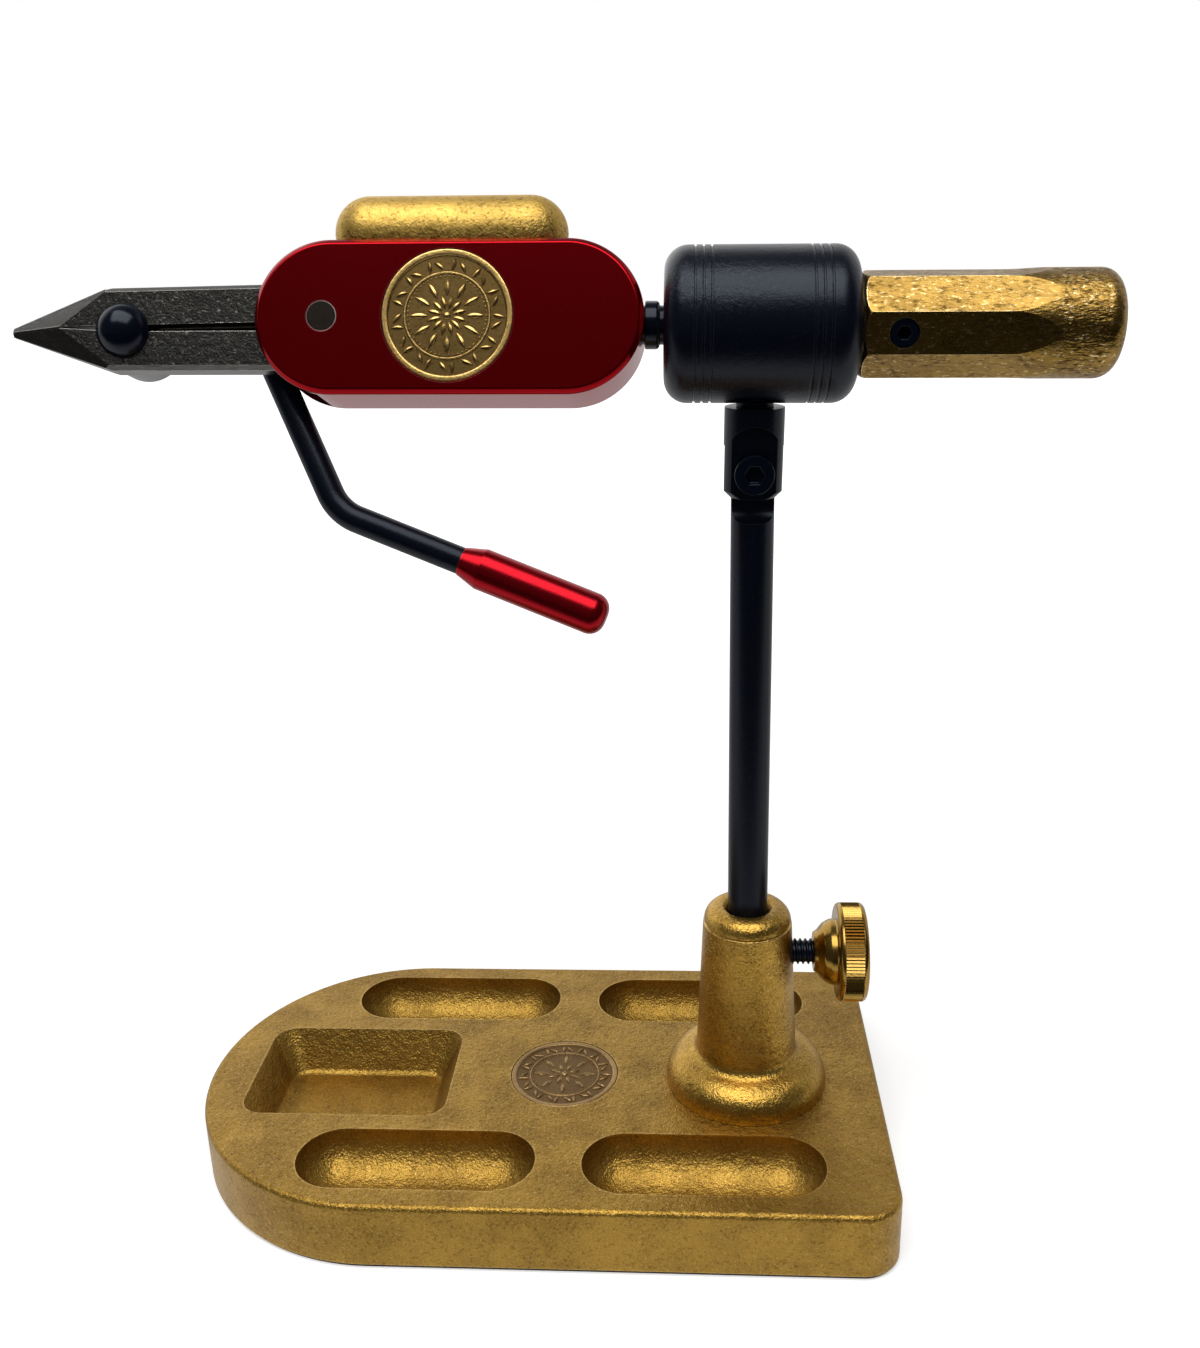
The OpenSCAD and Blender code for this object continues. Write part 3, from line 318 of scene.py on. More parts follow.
class Shared:
    """Node groups that several materials use."""

    VECTORS = ("Vector", "Normal")
    SCALES = {"Blotch": (0.36, 0.66, 4.0), "Speck": (0.5, 0.68, 3.0), "Fleck": (0.56, 0.72, 2.0)}
    MOTTLE_ROUGH = 0.6
    MOTTLE_SHIFT = (0.013, 0.007, 0.003)
    EDGE_RANGE = (0.01, 0.16)
    COARSE_SCALE = 0.28
    COARSE_SHARE = 1.3

    @classmethod
    def group(cls, name: str, inputs: Sequence[str], outputs: Sequence[str],
              fill: Callable[[Graph, bpy.types.NodeOutputs, bpy.types.NodeInputs], None]) -> Tree:
        """Makes a node group once.

        Args:
            name: The group's name.
            inputs: Names of its inputs.
            outputs: Names of its outputs.
            fill: Adds its nodes, from the graph, the group's inputs and its outputs.

        Returns:
            The node group.
        """
        known = bpy.data.node_groups.get(name)
        if known:
            return known
        tree = bpy.data.node_groups.new(name, "ShaderNodeTree")
        for direction, labels in (("INPUT", inputs), ("OUTPUT", outputs)):
            for label in labels:
                kind = "NodeSocketVector" if label in cls.VECTORS else "NodeSocketFloat"
                tree.interface.new_socket(name=label, in_out=direction, socket_type=kind)
        fill(Graph(tree), tree.nodes.new("NodeGroupInput").outputs, tree.nodes.new("NodeGroupOutput").inputs)
        return tree

    @classmethod
    def mottle(cls) -> Tree:
        """Gives the group of large blotches, dark specks and bright flecks."""
        return cls.group("mottle", ("Vector", *(label + " scale" for label in cls.SCALES)), tuple(cls.SCALES),
                         cls.fill_mottle)

    @classmethod
    def fill_mottle(cls, graph: Graph, source: bpy.types.NodeOutputs, target: bpy.types.NodeInputs) -> None:
        """Adds three scales of noise.

        Args:
            graph: The group's graph.
            source: The group's inputs.
            target: The group's outputs.
        """
        for label, (low, high, detail) in cls.SCALES.items():
            shift = (cls.MOTTLE_SHIFT[0] * detail, cls.MOTTLE_SHIFT[1], cls.MOTTLE_SHIFT[2] * detail)
            moved = graph.vector("ADD", source["Vector"], shift)["Vector"]
            noise = graph.noise(moved, source[label + " scale"], detail, cls.MOTTLE_ROUGH)
            graph.put(graph.band(noise, low, high), target[label])

    @classmethod
    def edges(cls) -> Tree:
        """Gives the group that masks the edges of a piece."""
        return cls.group("edges", ("Radius",), ("Edge",), cls.fill_edges)

    @classmethod
    def fill_edges(cls, graph: Graph, source: bpy.types.NodeOutputs, target: bpy.types.NodeInputs) -> None:
        """Compares the rounded normal with the true one.

        Args:
            graph: The group's graph.
            source: The group's inputs.
            target: The group's outputs.
        """
        bevel = graph.add("Bevel", [source["Radius"]], samples=4)
        geometry = graph.add("NewGeometry")
        same = graph.vector("DOT_PRODUCT", bevel.outputs["Normal"], geometry.outputs["Normal"])["Value"]
        graph.put(graph.band(graph.math("SUBTRACT", 1.0, same), *cls.EDGE_RANGE), target["Edge"])

    @classmethod
    def grain(cls) -> Tree:
        """Gives the group that roughens a normal with two scales of grain."""
        return cls.group("grain", ("Vector", "Scale", "Strength", "Depth"), ("Normal",), cls.fill_grain)

    @classmethod
    def fill_grain(cls, graph: Graph, source: bpy.types.NodeOutputs, target: bpy.types.NodeInputs) -> None:
        """Adds the bump of the grain.

        Args:
            graph: The group's graph.
            source: The group's inputs.
            target: The group's outputs.
        """
        fine = graph.noise(source["Vector"], source["Scale"], 2.0)
        coarse = graph.noise(source["Vector"], graph.math("MULTIPLY", source["Scale"], cls.COARSE_SCALE), 2.0)
        bump = graph.add("Bump")
        height = graph.math("ADD", fine, graph.math("MULTIPLY", coarse, cls.COARSE_SHARE))
        for name, value in (("Strength", source["Strength"]), ("Distance", source["Depth"]), ("Height", height)):
            graph.put(value, bump.inputs[name])
        graph.put(bump.outputs["Normal"], target["Normal"])


@dataclass(frozen=True)
class Patch:
    """A place where a finish is rougher and more speckled, in millimetres."""

    middle: Triple
    inner: float
    outer: float
    along: Triple = (1, 1, 1)


@dataclass(frozen=True)
class Finish:
    """A metal surface, or the dark pad's: its colours, gloss, patina, specks, grain and edges painted brighter, partly
    as wear and partly as painted highlight.
    """

    name: str
    colour: Triple
    dark: Triple
    bright: Triple
    metallic: float = 1.0
    roughness: float = 0.35
    rough_vary: float = 0.1
    blotch_mm: float = 14.0
    speck_mm: float = 0.8
    fleck_mm: float = 0.6
    blotch: float = 0.3
    speck: float = 0.3
    fleck: float = 0.2
    grain_mm: float = 0.35
    grain: float = 0.15
    # Share of the bright colour on edges: partly wear, partly painted highlight.
    edge: float = 0.0
    edge_mm: float = 0.5
    gloss: float = 0.5
    tint: Triple = (1, 1, 1)
    stretch: Triple = (1, 1, 1)
    patches: tuple[Patch, ...] = ()
    antiqued: bool = False
    patina: float = 0.6
    patch_speck: float = 0.35
    patch_fleck: float = 0.3
    relief: Pair = (0.05, 0.75)
    relief_vary: float = 0.25
    relief_rough: float = 0.25
    edge_bright_least: float = 0.55
    worn_gloss: float = 0.1
    grain_depth: float = 0.5

    def build(self) -> bpy.types.Material:
        """Builds the material once.

        Returns:
            The material of this finish.
        """
        known = bpy.data.materials.get(self.name)
        if known:
            return known
        material = bpy.data.materials.new(self.name)
        material.use_nodes = True
        graph = Graph(material.node_tree)
        shader = material.node_tree.nodes["Principled BSDF"].inputs
        place = graph.add("TexCoord").outputs["Object"]
        mapping = graph.add("Mapping")
        graph.put(place, mapping.inputs["Vector"])
        mapping.inputs["Scale"].default_value = self.stretch
        vector = mapping.outputs["Vector"]
        mottle = graph.group(Shared.mottle(), Vector=vector, Blotch_scale=1000 / self.blotch_mm,
                             Speck_scale=1000 / self.speck_mm, Fleck_scale=1000 / self.fleck_mm)
        blotch, speck, fleck = (mottle[label] for label in Shared.SCALES)
        boost = self.patch_mask(graph, place)
        speck_share = graph.math("ADD", self.speck, graph.math("MULTIPLY", boost, self.patch_speck))
        fleck_share = graph.math("ADD", self.fleck, graph.math("MULTIPLY", boost, self.patch_fleck))
        shade = graph.math("ADD", graph.math("MULTIPLY", blotch, self.blotch),
                           graph.math("MULTIPLY", speck, speck_share), clamp=True)
        colour = graph.mix(shade, rgba(self.colour), rgba(self.dark))
        colour = graph.mix(graph.math("MULTIPLY", fleck, fleck_share, clamp=True), colour, rgba(self.bright))
        rough = graph.math("ADD", self.roughness, graph.math("MULTIPLY", shade, self.rough_vary))
        if self.antiqued:
            height = graph.add("Attribute", attribute_name="raised").outputs["Fac"]
            height = graph.math("SUBTRACT", height, graph.math("MULTIPLY", speck, self.relief_vary))
            deep = graph.band(height, *self.relief, 1.0, 0.0)
            colour = graph.mix(graph.math("MULTIPLY", deep, self.patina), colour, rgba(self.dark))
            rough = graph.math("ADD", rough, graph.math("MULTIPLY", deep, self.relief_rough))
        # Paints the edges with the bright colour and makes them glossier: partly wear, partly painted highlight.
        if self.edge > 0:
            worn_and_highlit = graph.group(Shared.edges(), Radius=self.edge_mm * MM)["Edge"]
            worn_and_highlit = graph.math("MULTIPLY", worn_and_highlit, graph.band(speck, 0.0, 1.0, self.edge, self.edge * self.edge_bright_least))
            colour = graph.mix(worn_and_highlit, colour, rgba(self.bright))
            rough = graph.math("SUBTRACT", rough, graph.math("MULTIPLY", worn_and_highlit, self.worn_gloss))
        graph.put(colour, shader["Base Color"])
        graph.put(rough, shader["Roughness"])
        shader["Metallic"].default_value = self.metallic
        shader["Specular IOR Level"].default_value = self.gloss
        shader["Specular Tint"].default_value = rgba(self.tint)
        strength = graph.math("MULTIPLY", graph.math("ADD", 1.0, boost), self.grain)
        grain = graph.group(Shared.grain(), Vector=vector, Scale=1000 / self.grain_mm, Strength=strength,
                            Depth=self.grain_mm * MM * self.grain_depth)
        graph.put(grain["Normal"], shader["Normal"])
        return material

    def patch_mask(self, graph: Graph, place: Link) -> object:
        """Adds the mask of the finish's patches.

        Args:
            graph: The material's graph.
            place: The Object coordinates.

        Returns:
            The mask, or nought where the finish has no patch.
        """
        mask: object = 0.0
        for patch in self.patches:
            away = graph.vector("SUBTRACT", place, [v * MM for v in patch.middle])["Vector"]
            away = graph.vector("LENGTH", graph.vector("MULTIPLY", away, patch.along)["Vector"])["Value"]
            here = graph.band(away, patch.inner * MM, patch.outer * MM, 1.0, 0.0)
            mask = graph.math("MAXIMUM", mask, here)
        return mask


BRONZE = Finish("cast bronze", (0.385, 0.226, 0.042), (0.14, 0.075, 0.013), (0.7, 0.5, 0.18), roughness=0.4,
                blotch=0.4, speck=0.45, fleck=0.45, speck_mm=0.7, fleck_mm=0.5, grain=0.75, grain_mm=0.5, edge=0.6,
                edge_mm=0.9)
# The plate's bronze made brighter for the column: painted light that stands in for light the lamps don't give it.
COLUMN_PAINTED_BRIGHTER = replace(BRONZE, name="column bronze painted brighter", colour=(0.52, 0.31, 0.058), bright=(0.85, 0.62, 0.24), roughness=0.33,
                 grain=0.6, edge=0.7)
BRASS = Finish("antique brass", (0.34, 0.205, 0.048), (0.07, 0.038, 0.008), (1.0, 0.78, 0.4), roughness=0.3,
               rough_vary=0.2, blotch_mm=6, blotch=0.35, speck=0.55, fleck=0.42, speck_mm=0.8, fleck_mm=0.6,
               grain=0.45, grain_mm=0.4, edge=1.0, edge_mm=0.4, stretch=(0.45, 1, 1),
               patches=(Patch((65, 0, 200), 4.2, 5.4, (1, 0, 0)),))
BAR_BRASS = Finish("bar brass", (0.66, 0.43, 0.1), (0.14, 0.078, 0.016), (0.9, 0.68, 0.32), roughness=0.47,
                   blotch=0.3, speck=0.45, fleck=0.3, speck_mm=0.8, fleck_mm=0.6, grain=0.35, grain_mm=0.45,
                   patches=(Patch((-44, 0, 215), 5, 14), Patch((-60, -8, 218.5), 3.0, 6.0, (0, 0, 1))))
HEAD_COIN = Finish("struck brass", (0.76, 0.5, 0.17), (0.05, 0.028, 0.008), (0.9, 0.7, 0.34), roughness=0.28,
                   blotch=0.25, speck=0.35, fleck=0.15, speck_mm=0.6, grain=0.2, antiqued=True, patina=0.85)
COPPER = replace(HEAD_COIN, name="dark coin", colour=(0.36, 0.225, 0.09), dark=(0.1, 0.06, 0.028),
                 bright=(0.5, 0.36, 0.18), roughness=0.34, blotch=0.3, fleck=0.1, patina=0.6)
BRIGHT = Finish("polished brass", (0.35, 0.21, 0.044), (0.2, 0.115, 0.02), (0.85, 0.62, 0.26), roughness=0.2,
                blotch=0.25, speck=0.12, fleck=0.08, grain=0.06, edge=0.4, edge_mm=0.25)
BLACK = Finish("black oxide", (0.0014, 0.0024, 0.006), (0.001, 0.0016, 0.004), (0.04, 0.042, 0.05), 0.0, 0.28,
               blotch=0.3, speck=0.3, fleck=0.06, grain=0.12, edge=0.3, gloss=0.22, tint=(0.78, 0.86, 1), edge_mm=0.25)
GLOSS = replace(BLACK, name="gloss black", colour=(0.0016, 0.0026, 0.007), bright=(0.05, 0.05, 0.06), roughness=0.18,
                blotch=0.2, speck=0.15, fleck=0.02, grain=0.05, gloss=0.24)
BARREL = replace(BLACK, name="blue black", colour=(0.0014, 0.0024, 0.0065), dark=(0.001, 0.0016, 0.0045),
                 bright=(0.08, 0.09, 0.11), roughness=0.27, fleck=0.02, speck_mm=0.5, fleck_mm=0.8, grain=0.2,
                 edge=0.2, gloss=0.26, edge_mm=0.3, patches=(Patch((-9, -13, 213), 2, 9, (0.5, 1, 1)),))
RED = Finish("deep red", (0.3, 0.0008, 0.005), (0.22, 0.0005, 0.003), (0.8, 0.22, 0.23), 0.9, 0.15, 0.04,
             blotch=0.25, speck=0.15, fleck=0.01, grain=0.04, edge=0.5, edge_mm=0.45)
BRIGHT_RED = replace(RED, name="bright red", colour=(0.32, 0.002, 0.008), dark=(0.24, 0.0015, 0.006),
                     bright=(0.8, 0.16, 0.17), roughness=0.24, rough_vary=0.05, blotch=0.2, fleck=0.02, grain=0.05,
                     edge=0.4, edge_mm=0.4)
JAW_FACE = Finish("jaw face steel", (0.04, 0.039, 0.036), (0.018, 0.0175, 0.016), (0.62, 0.59, 0.54), 1.0, 0.4,
                  blotch=0.3, speck=0.4, fleck=0.16, speck_mm=0.7, fleck_mm=0.7, grain=0.5, grain_mm=0.45, edge=1.0,
                  edge_mm=0.3)
JAW_EDGE = Finish("ground jaw steel", (0.14, 0.135, 0.127), (0.06, 0.058, 0.054), (0.72, 0.7, 0.65), 1.0, 0.28,
                  blotch=0.35, speck=0.3, fleck=0.08, grain=0.15, edge=1.0, edge_mm=0.4, stretch=(0.25, 1, 1))
PIN_FACE = Finish("dark pin steel", (0.06, 0.048, 0.038), (0.025, 0.02, 0.016), (0.3, 0.27, 0.24), 1.0, 0.24,
                  blotch=0.3, speck=0.25, fleck=0.05, grain=0.1)
PIN = Finish("pin steel", (0.6, 0.52, 0.5), (0.3, 0.25, 0.24), (0.8, 0.8, 0.8), 0.4, 0.25,
             blotch=0.2, speck=0.2, fleck=0.1, grain=0.08)
GREY = Finish("grey steel", (0.25, 0.25, 0.255), (0.13, 0.13, 0.135), (0.5, 0.5, 0.5), 1.0, 0.34,
              blotch=0.3, speck=0.2, fleck=0.1, grain=0.12)
BUSH = Finish("bush bronze", (0.6, 0.4, 0.2), (0.4, 0.25, 0.1), (0.7, 0.5, 0.3), 1.0, 0.35)
# A dark sheet under the plate; it draws the dark line along the plate's foot.
DARK_PAD = Finish("dark pad sheet", (0.02, 0.02, 0.02), (0.01, 0.01, 0.01), (0.04, 0.04, 0.04), 0.0, 0.8)

NODE_FINISH = {
    "base_pad": DARK_PAD, "stem_bush": BUSH, "neck_stud": BLACK, "pedestal_screws": GREY, "counterweight_studs": GREY,
}


class Slot(Enum):
    """The record's material slots; no piece here takes its finish from them."""

    BRONZE = "cast_bronze"
    BRASS = "antique_brass"
    MEDAL = "medal_brass"
    BRIGHT = "polished_brass"
    BLACK = "black_steel"
    GLOSS = "gloss_black_steel"
    BARREL = "blue_black_anodised"
    RED = "red_anodised"
    BRIGHT_RED = "bright_red_anodised"
    PIN = "pin_steel"
    JAW = "jaw_steel"
    GREY = "grey_steel"


ALONG_X = Matrix.Rotation(math.radians(90), 4, "Y")
TO_FRONT = Matrix.Rotation(math.radians(90), 4, "X")
TO_BACK = Matrix.Rotation(math.radians(-90), 4, "X")


def arc(middle: Pair, radius: float, start: float, end: float, steps: int = 8) -> Path:
    """Gives points along an arc, its angles in degrees."""
    angles = (math.radians(start + (end - start) * i / steps) for i in range(steps + 1))
    return [(middle[0] + radius * math.cos(t), middle[1] + radius * math.sin(t)) for t in angles]


def rounded(corners: Sequence[tuple[float, ...]], closed: bool = False, steps: int = 5) -> Path:
    """Rounds the corners of a path.

    Args:
        corners: Each corner's place, and its radius where it is round.
        closed: Whether the path's end joins its start.
        steps: Edges in each round.

    Returns:
        The points of the rounded path.
    """
    path: Path = []
    count = len(corners)
    for i, corner in enumerate(corners):
        here = Vector(corner[:2])
        radius = corner[2] if len(corner) > 2 else 0.0
        if radius <= 0 or (not closed and i in (0, count - 1)):
            path.append(tuple(here))
            continue
        before = (Vector(corners[i - 1][:2]) - here).normalized()
        after = (Vector(corners[(i + 1) % count][:2]) - here).normalized()
        half = before.angle(after) / 2
        middle = here + (before + after).normalized() * (radius / math.sin(half))
        first = here + before * (radius / math.tan(half)) - middle
        last = here + after * (radius / math.tan(half)) - middle
        sweep = first.angle(last)
        for k in range(steps + 1):
            share = k / steps
            spoke = first * math.sin((1 - share) * sweep) + last * math.sin(share * sweep)
            path.append(tuple(middle + spoke / math.sin(sweep)))
    return path


def turns(count: int, phase: float = 0.0) -> list[float]:
    """Gives angles spread evenly round a circle, the first at a phase of one step."""
    return [math.tau * (i + phase) / count for i in range(count)]


def rounded_box(half_x: float, half_y: float, radius: float, steps: int) -> Path:
    """Gives a rectangle with round corners about the origin."""
    return rounded([(half_x, -half_y, radius), (half_x, half_y, radius), (-half_x, half_y, radius),
                    (-half_x, -half_y, radius)], closed=True, steps=steps)


class Solid:
    """A mesh in millimetres while it is being shaped."""

    def __init__(self) -> None:
        """Starts with an empty mesh."""
        self.mesh = bmesh.new()

    @classmethod
    def lathe(cls, path: Path, steps: int = 96, ring: bool = False) -> "Solid":
        """Spins a path about the z axis.

        Args:
            path: Points as distance from the axis and height.
            steps: Faces round the axis.
            ring: Whether the path closes on itself and leaves a bore.

        Returns:
            The turned solid.
        """
        solid = cls()
        mesh = solid.mesh
        points = [mesh.verts.new((max(r, 0.0), 0, z)) for r, z in path]
        edges = [mesh.edges.new(pair) for pair in zip(points, points[1:])]
        if ring:
            edges.append(mesh.edges.new((points[-1], points[0])))
        bmesh.ops.spin(mesh, geom=points + edges, cent=(0, 0, 0), axis=(0, 0, 1), angle=math.tau,
                       steps=steps, use_merge=True)
        bmesh.ops.remove_doubles(mesh, verts=mesh.verts[:], dist=1e-4)
        return solid.tidy()

    @classmethod
    def prism(cls, outline: Path, low: float, high: float) -> "Solid":
        """Raises a plane outline from one height to another."""
        return cls.loft([[(x, y, z) for x, y in outline] for z in (low, high)])

    @classmethod
    def loft(cls, rings: Sequence[Sequence[Triple]]) -> "Solid":
        """Joins rings of points with faces and closes both ends.

        Args:
            rings: The rings, with as many points each.

        Returns:
            The solid.
        """
        solid = cls()
        mesh = solid.mesh
        rows = [[mesh.verts.new(point) for point in ring] for ring in rings]
        for low, high in zip(rows, rows[1:]):
            for i, point in enumerate(low):
                after = (i + 1) % len(low)
                mesh.faces.new((point, low[after], high[after], high[i]))
        mesh.faces.new(rows[0][::-1])
        mesh.faces.new(rows[-1])
        return solid.tidy()

    @classmethod
    def tube(cls, path: Sequence[Vector], radius: float, across: Vector, steps: int) -> "Solid":
        """Draws a round bar along a plane path.

        Args:
            path: The bar's middle line.
            radius: Its radius.
            across: The normal of the path's plane.
            steps: Faces round the bar.

        Returns:
            The solid.
        """
        rings = []
        for i, point in enumerate(path):
            along = (path[min(i + 1, len(path) - 1)] - path[max(i - 1, 0)]).normalized()
            side = along.cross(across)
            rings.append([tuple(point + (across * math.cos(t) + side * math.sin(t)) * radius) for t in turns(steps)])
        return cls.loft(rings)

    @classmethod
    def box(cls, low: Triple, high: Triple) -> "Solid":
        """Gives the box between two corners."""
        outline = [(low[0], low[1]), (high[0], low[1]), (high[0], high[1]), (low[0], high[1])]
        return cls.prism(outline, low[2], high[2])

    @classmethod
    def cylinder(cls, radius: float, low: float, high: float, steps: int) -> "Solid":
        """Gives a cylinder about the z axis between two heights."""
        return cls.lathe([(0, low), (radius, low), (radius, high), (0, high)], steps)

    @classmethod
    def capsule(cls, radius: float, half: float, rows: int, steps: int) -> "Solid":
        """Gives a bar with round ends along the x axis.

        Args:
            radius: The bar's radius.
            half: Half the distance between the middles of its ends.
            rows: Rows of faces on each end.
            steps: Faces round the bar.

        Returns:
            The bar.
        """
        path = arc((0, -half), radius, -90, 0, rows) + arc((0, half), radius, 0, 90, rows)
        path[0], path[-1] = (0, path[0][1]), (0, path[-1][1])
        return cls.lathe(path, steps).turn(ALONG_X)

    @classmethod
    def copy_of(cls, node: str, place: Matrix) -> "Solid":
        """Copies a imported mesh, merged and with its flat faces joined.

        Args:
            node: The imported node.
            place: The frame that the copy is given in.

        Returns:
            The copy.
        """
        solid = cls()
        mesh = solid.mesh
        mesh.from_mesh(frame["nodes"][node].data)
        bmesh.ops.remove_doubles(mesh, verts=mesh.verts[:], dist=1e-6)
        bmesh.ops.transform(mesh, verts=mesh.verts[:], matrix=place.inverted() @ Matrix.Scale(1 / MM, 4))
        bmesh.ops.dissolve_limit(mesh, angle_limit=math.radians(0.5), verts=mesh.verts[:], edges=mesh.edges[:])
        return solid.tidy()

    def tidy(self) -> "Solid":
        """Makes the faces point outwards."""
        bmesh.ops.recalc_face_normals(self.mesh, faces=self.mesh.faces[:])
        return self

    def turn(self, matrix: Matrix) -> "Solid":
        """Moves the solid by a matrix."""
        bmesh.ops.transform(self.mesh, verts=self.mesh.verts[:], matrix=matrix)
        return self

    def move(self, x: float = 0.0, y: float = 0.0, z: float = 0.0) -> "Solid":
        """Moves the solid along the axes."""
        return self.turn(Matrix.Translation((x, y, z)))

    def add(self, *others: "Solid") -> "Solid":
        """Puts other solids beside this one in one mesh.

        Args:
            *others: The other solids.

        Returns:
            The solid itself.
        """
        for other in others:
            data = bpy.data.meshes.new("join")
            other.mesh.to_mesh(data)
            self.mesh.from_mesh(data)
            bpy.data.meshes.remove(data)
        return self

    def cut(self, *tools: "Solid") -> "Solid":
        """Takes other solids away with an exact Boolean.

        Args:
            *tools: The other solids.

        Returns:
            The solid itself.
        """
        for tool in tools:
            pair = []
            for solid in (self, tool):
                data = bpy.data.meshes.new("cut")
                solid.mesh.to_mesh(data)
                pair.append(link("cut", data))
            modifier = pair[0].modifiers.new("cut", "BOOLEAN")
            modifier.solver = "EXACT"
            modifier.object = pair[1]
            done = bpy.data.meshes.new_from_object(pair[0].evaluated_get(bpy.context.evaluated_depsgraph_get()))
            self.mesh.clear()
            self.mesh.from_mesh(done)
            for data in [thing.data for thing in pair] + [done]:
                bpy.data.meshes.remove(data)
        return self

    def bevel(self, width: float, segments: int = 3, angle: float = 30.0,
              where: Optional[Callable[[Vector], bool]] = None) -> "Solid":
        """Rounds the edges that are sharper than an angle.

        Args:
            width: How far the round reaches into each face.
            segments: Edges across the round.
            angle: Angle between the faces from which an edge is rounded, in degrees.
            where: Picks edges by their middle point.

        Returns:
            The solid itself.
        """
        picked = [
            edge for edge in self.mesh.edges
            if len(edge.link_faces) == 2 and edge.calc_face_angle(0.0) > math.radians(angle)
            and (where is None or where((edge.verts[0].co + edge.verts[1].co) / 2))
        ]
        bmesh.ops.bevel(self.mesh, geom=picked, offset=width, offset_type="OFFSET", segments=segments, profile=0.5,
                        affect="EDGES", clamp_overlap=True, material=-1)
        return self

    def shift(self, change: Callable[[Vector], Vector]) -> "Solid":
        """Moves every point by a rule.

        Args:
            change: Gives a point's new place.

        Returns:
            The solid itself.
        """
        for point in self.mesh.verts:
            point.co = change(point.co)
        return self

    def raised(self, low: float, high: float) -> "Solid":
        """Stores how far each point stands out of a relief, as a share, in the mesh.

        Args:
            low: Height with the share 0.
            high: Height with the share 1.

        Returns:
            The solid itself.
        """
        layer = self.mesh.verts.layers.float.get("raised") or self.mesh.verts.layers.float.new("raised")
        for point in self.mesh.verts:
            point[layer] = min(max((point.co.z - low) / (high - low), 0.0), 1.0)
        return self


@dataclass(frozen=True)
class Places:
    """The frames of the vise, in millimetres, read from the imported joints."""

    level: Matrix
    tilted: Matrix
    barrel: Matrix
    head: Matrix

    @classmethod
    def read(cls) -> "Places":
        """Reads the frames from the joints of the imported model.

        Returns:
            The frames.
        """
        joints = {joint["name"]: joint for joint in frame["joints"]}
        spin, tilt, squeeze = joints["head_spin"], joints["head_tilt"], joints["lever_squeeze"]
        middle, pivot = (Vector(joint["pos_m"]) / MM for joint in (spin, tilt))
        along = Vector(spin["axis"])
        back = Vector((0, 1, 0))
        return cls(Matrix.Identity(4), level_frame(pivot, along, back), level_frame(middle, along, back),
                   level_frame(middle, along, -Vector(squeeze["axis"])))


def dress(name: str, solid: Solid, finish: "Finish | Sequence[Finish]", body: str, node: str,
          place: Matrix = Matrix.Identity(4), sharp: float = 25.0,
          pick: Optional[Callable[[Vector], int]] = None) -> None:
    """Makes a finished object of a solid, in its place and riding on its body.

    Args:
        name: The object's name.
        solid: Its mesh in the frame of place.
        finish: Its finish, or several for pick to choose from.
        body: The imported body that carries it.
        node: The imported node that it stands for.
        place: The frame of the solid.
        sharp: Angle from which an edge stays sharp in shading, in degrees.
        pick: Gives a face's finish from its normal in the frame of place.
    """
    for face in solid.mesh.faces:
        face.material_index = pick(face.normal) if pick else 0
    bmesh.ops.transform(solid.mesh, verts=solid.mesh.verts[:], matrix=Matrix.Scale(MM, 4) @ place)
    data = bpy.data.meshes.new(name)
    solid.mesh.to_mesh(data)
    solid.mesh.free()
    for each in [finish] if isinstance(finish, Finish) else finish:
        data.materials.append(each.build())
    data.shade_smooth()
    data.set_sharp_from_angle(angle=math.radians(sharp))
    thing = link(name, data)
    normals = thing.modifiers.new("normals", "WEIGHTED_NORMAL")
    normals.keep_sharp = True
    normals.weight = 80
    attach(thing, body)
    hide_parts(node)
    LOG.info("%s: %d faces", name, len(data.polygons))


@dataclass
class Piece:
    """A sub-assembly, made in the frames of the vise."""

    places: Places

    def make(self) -> None:
        """Makes the sub-assembly's objects."""
        raise NotImplementedError


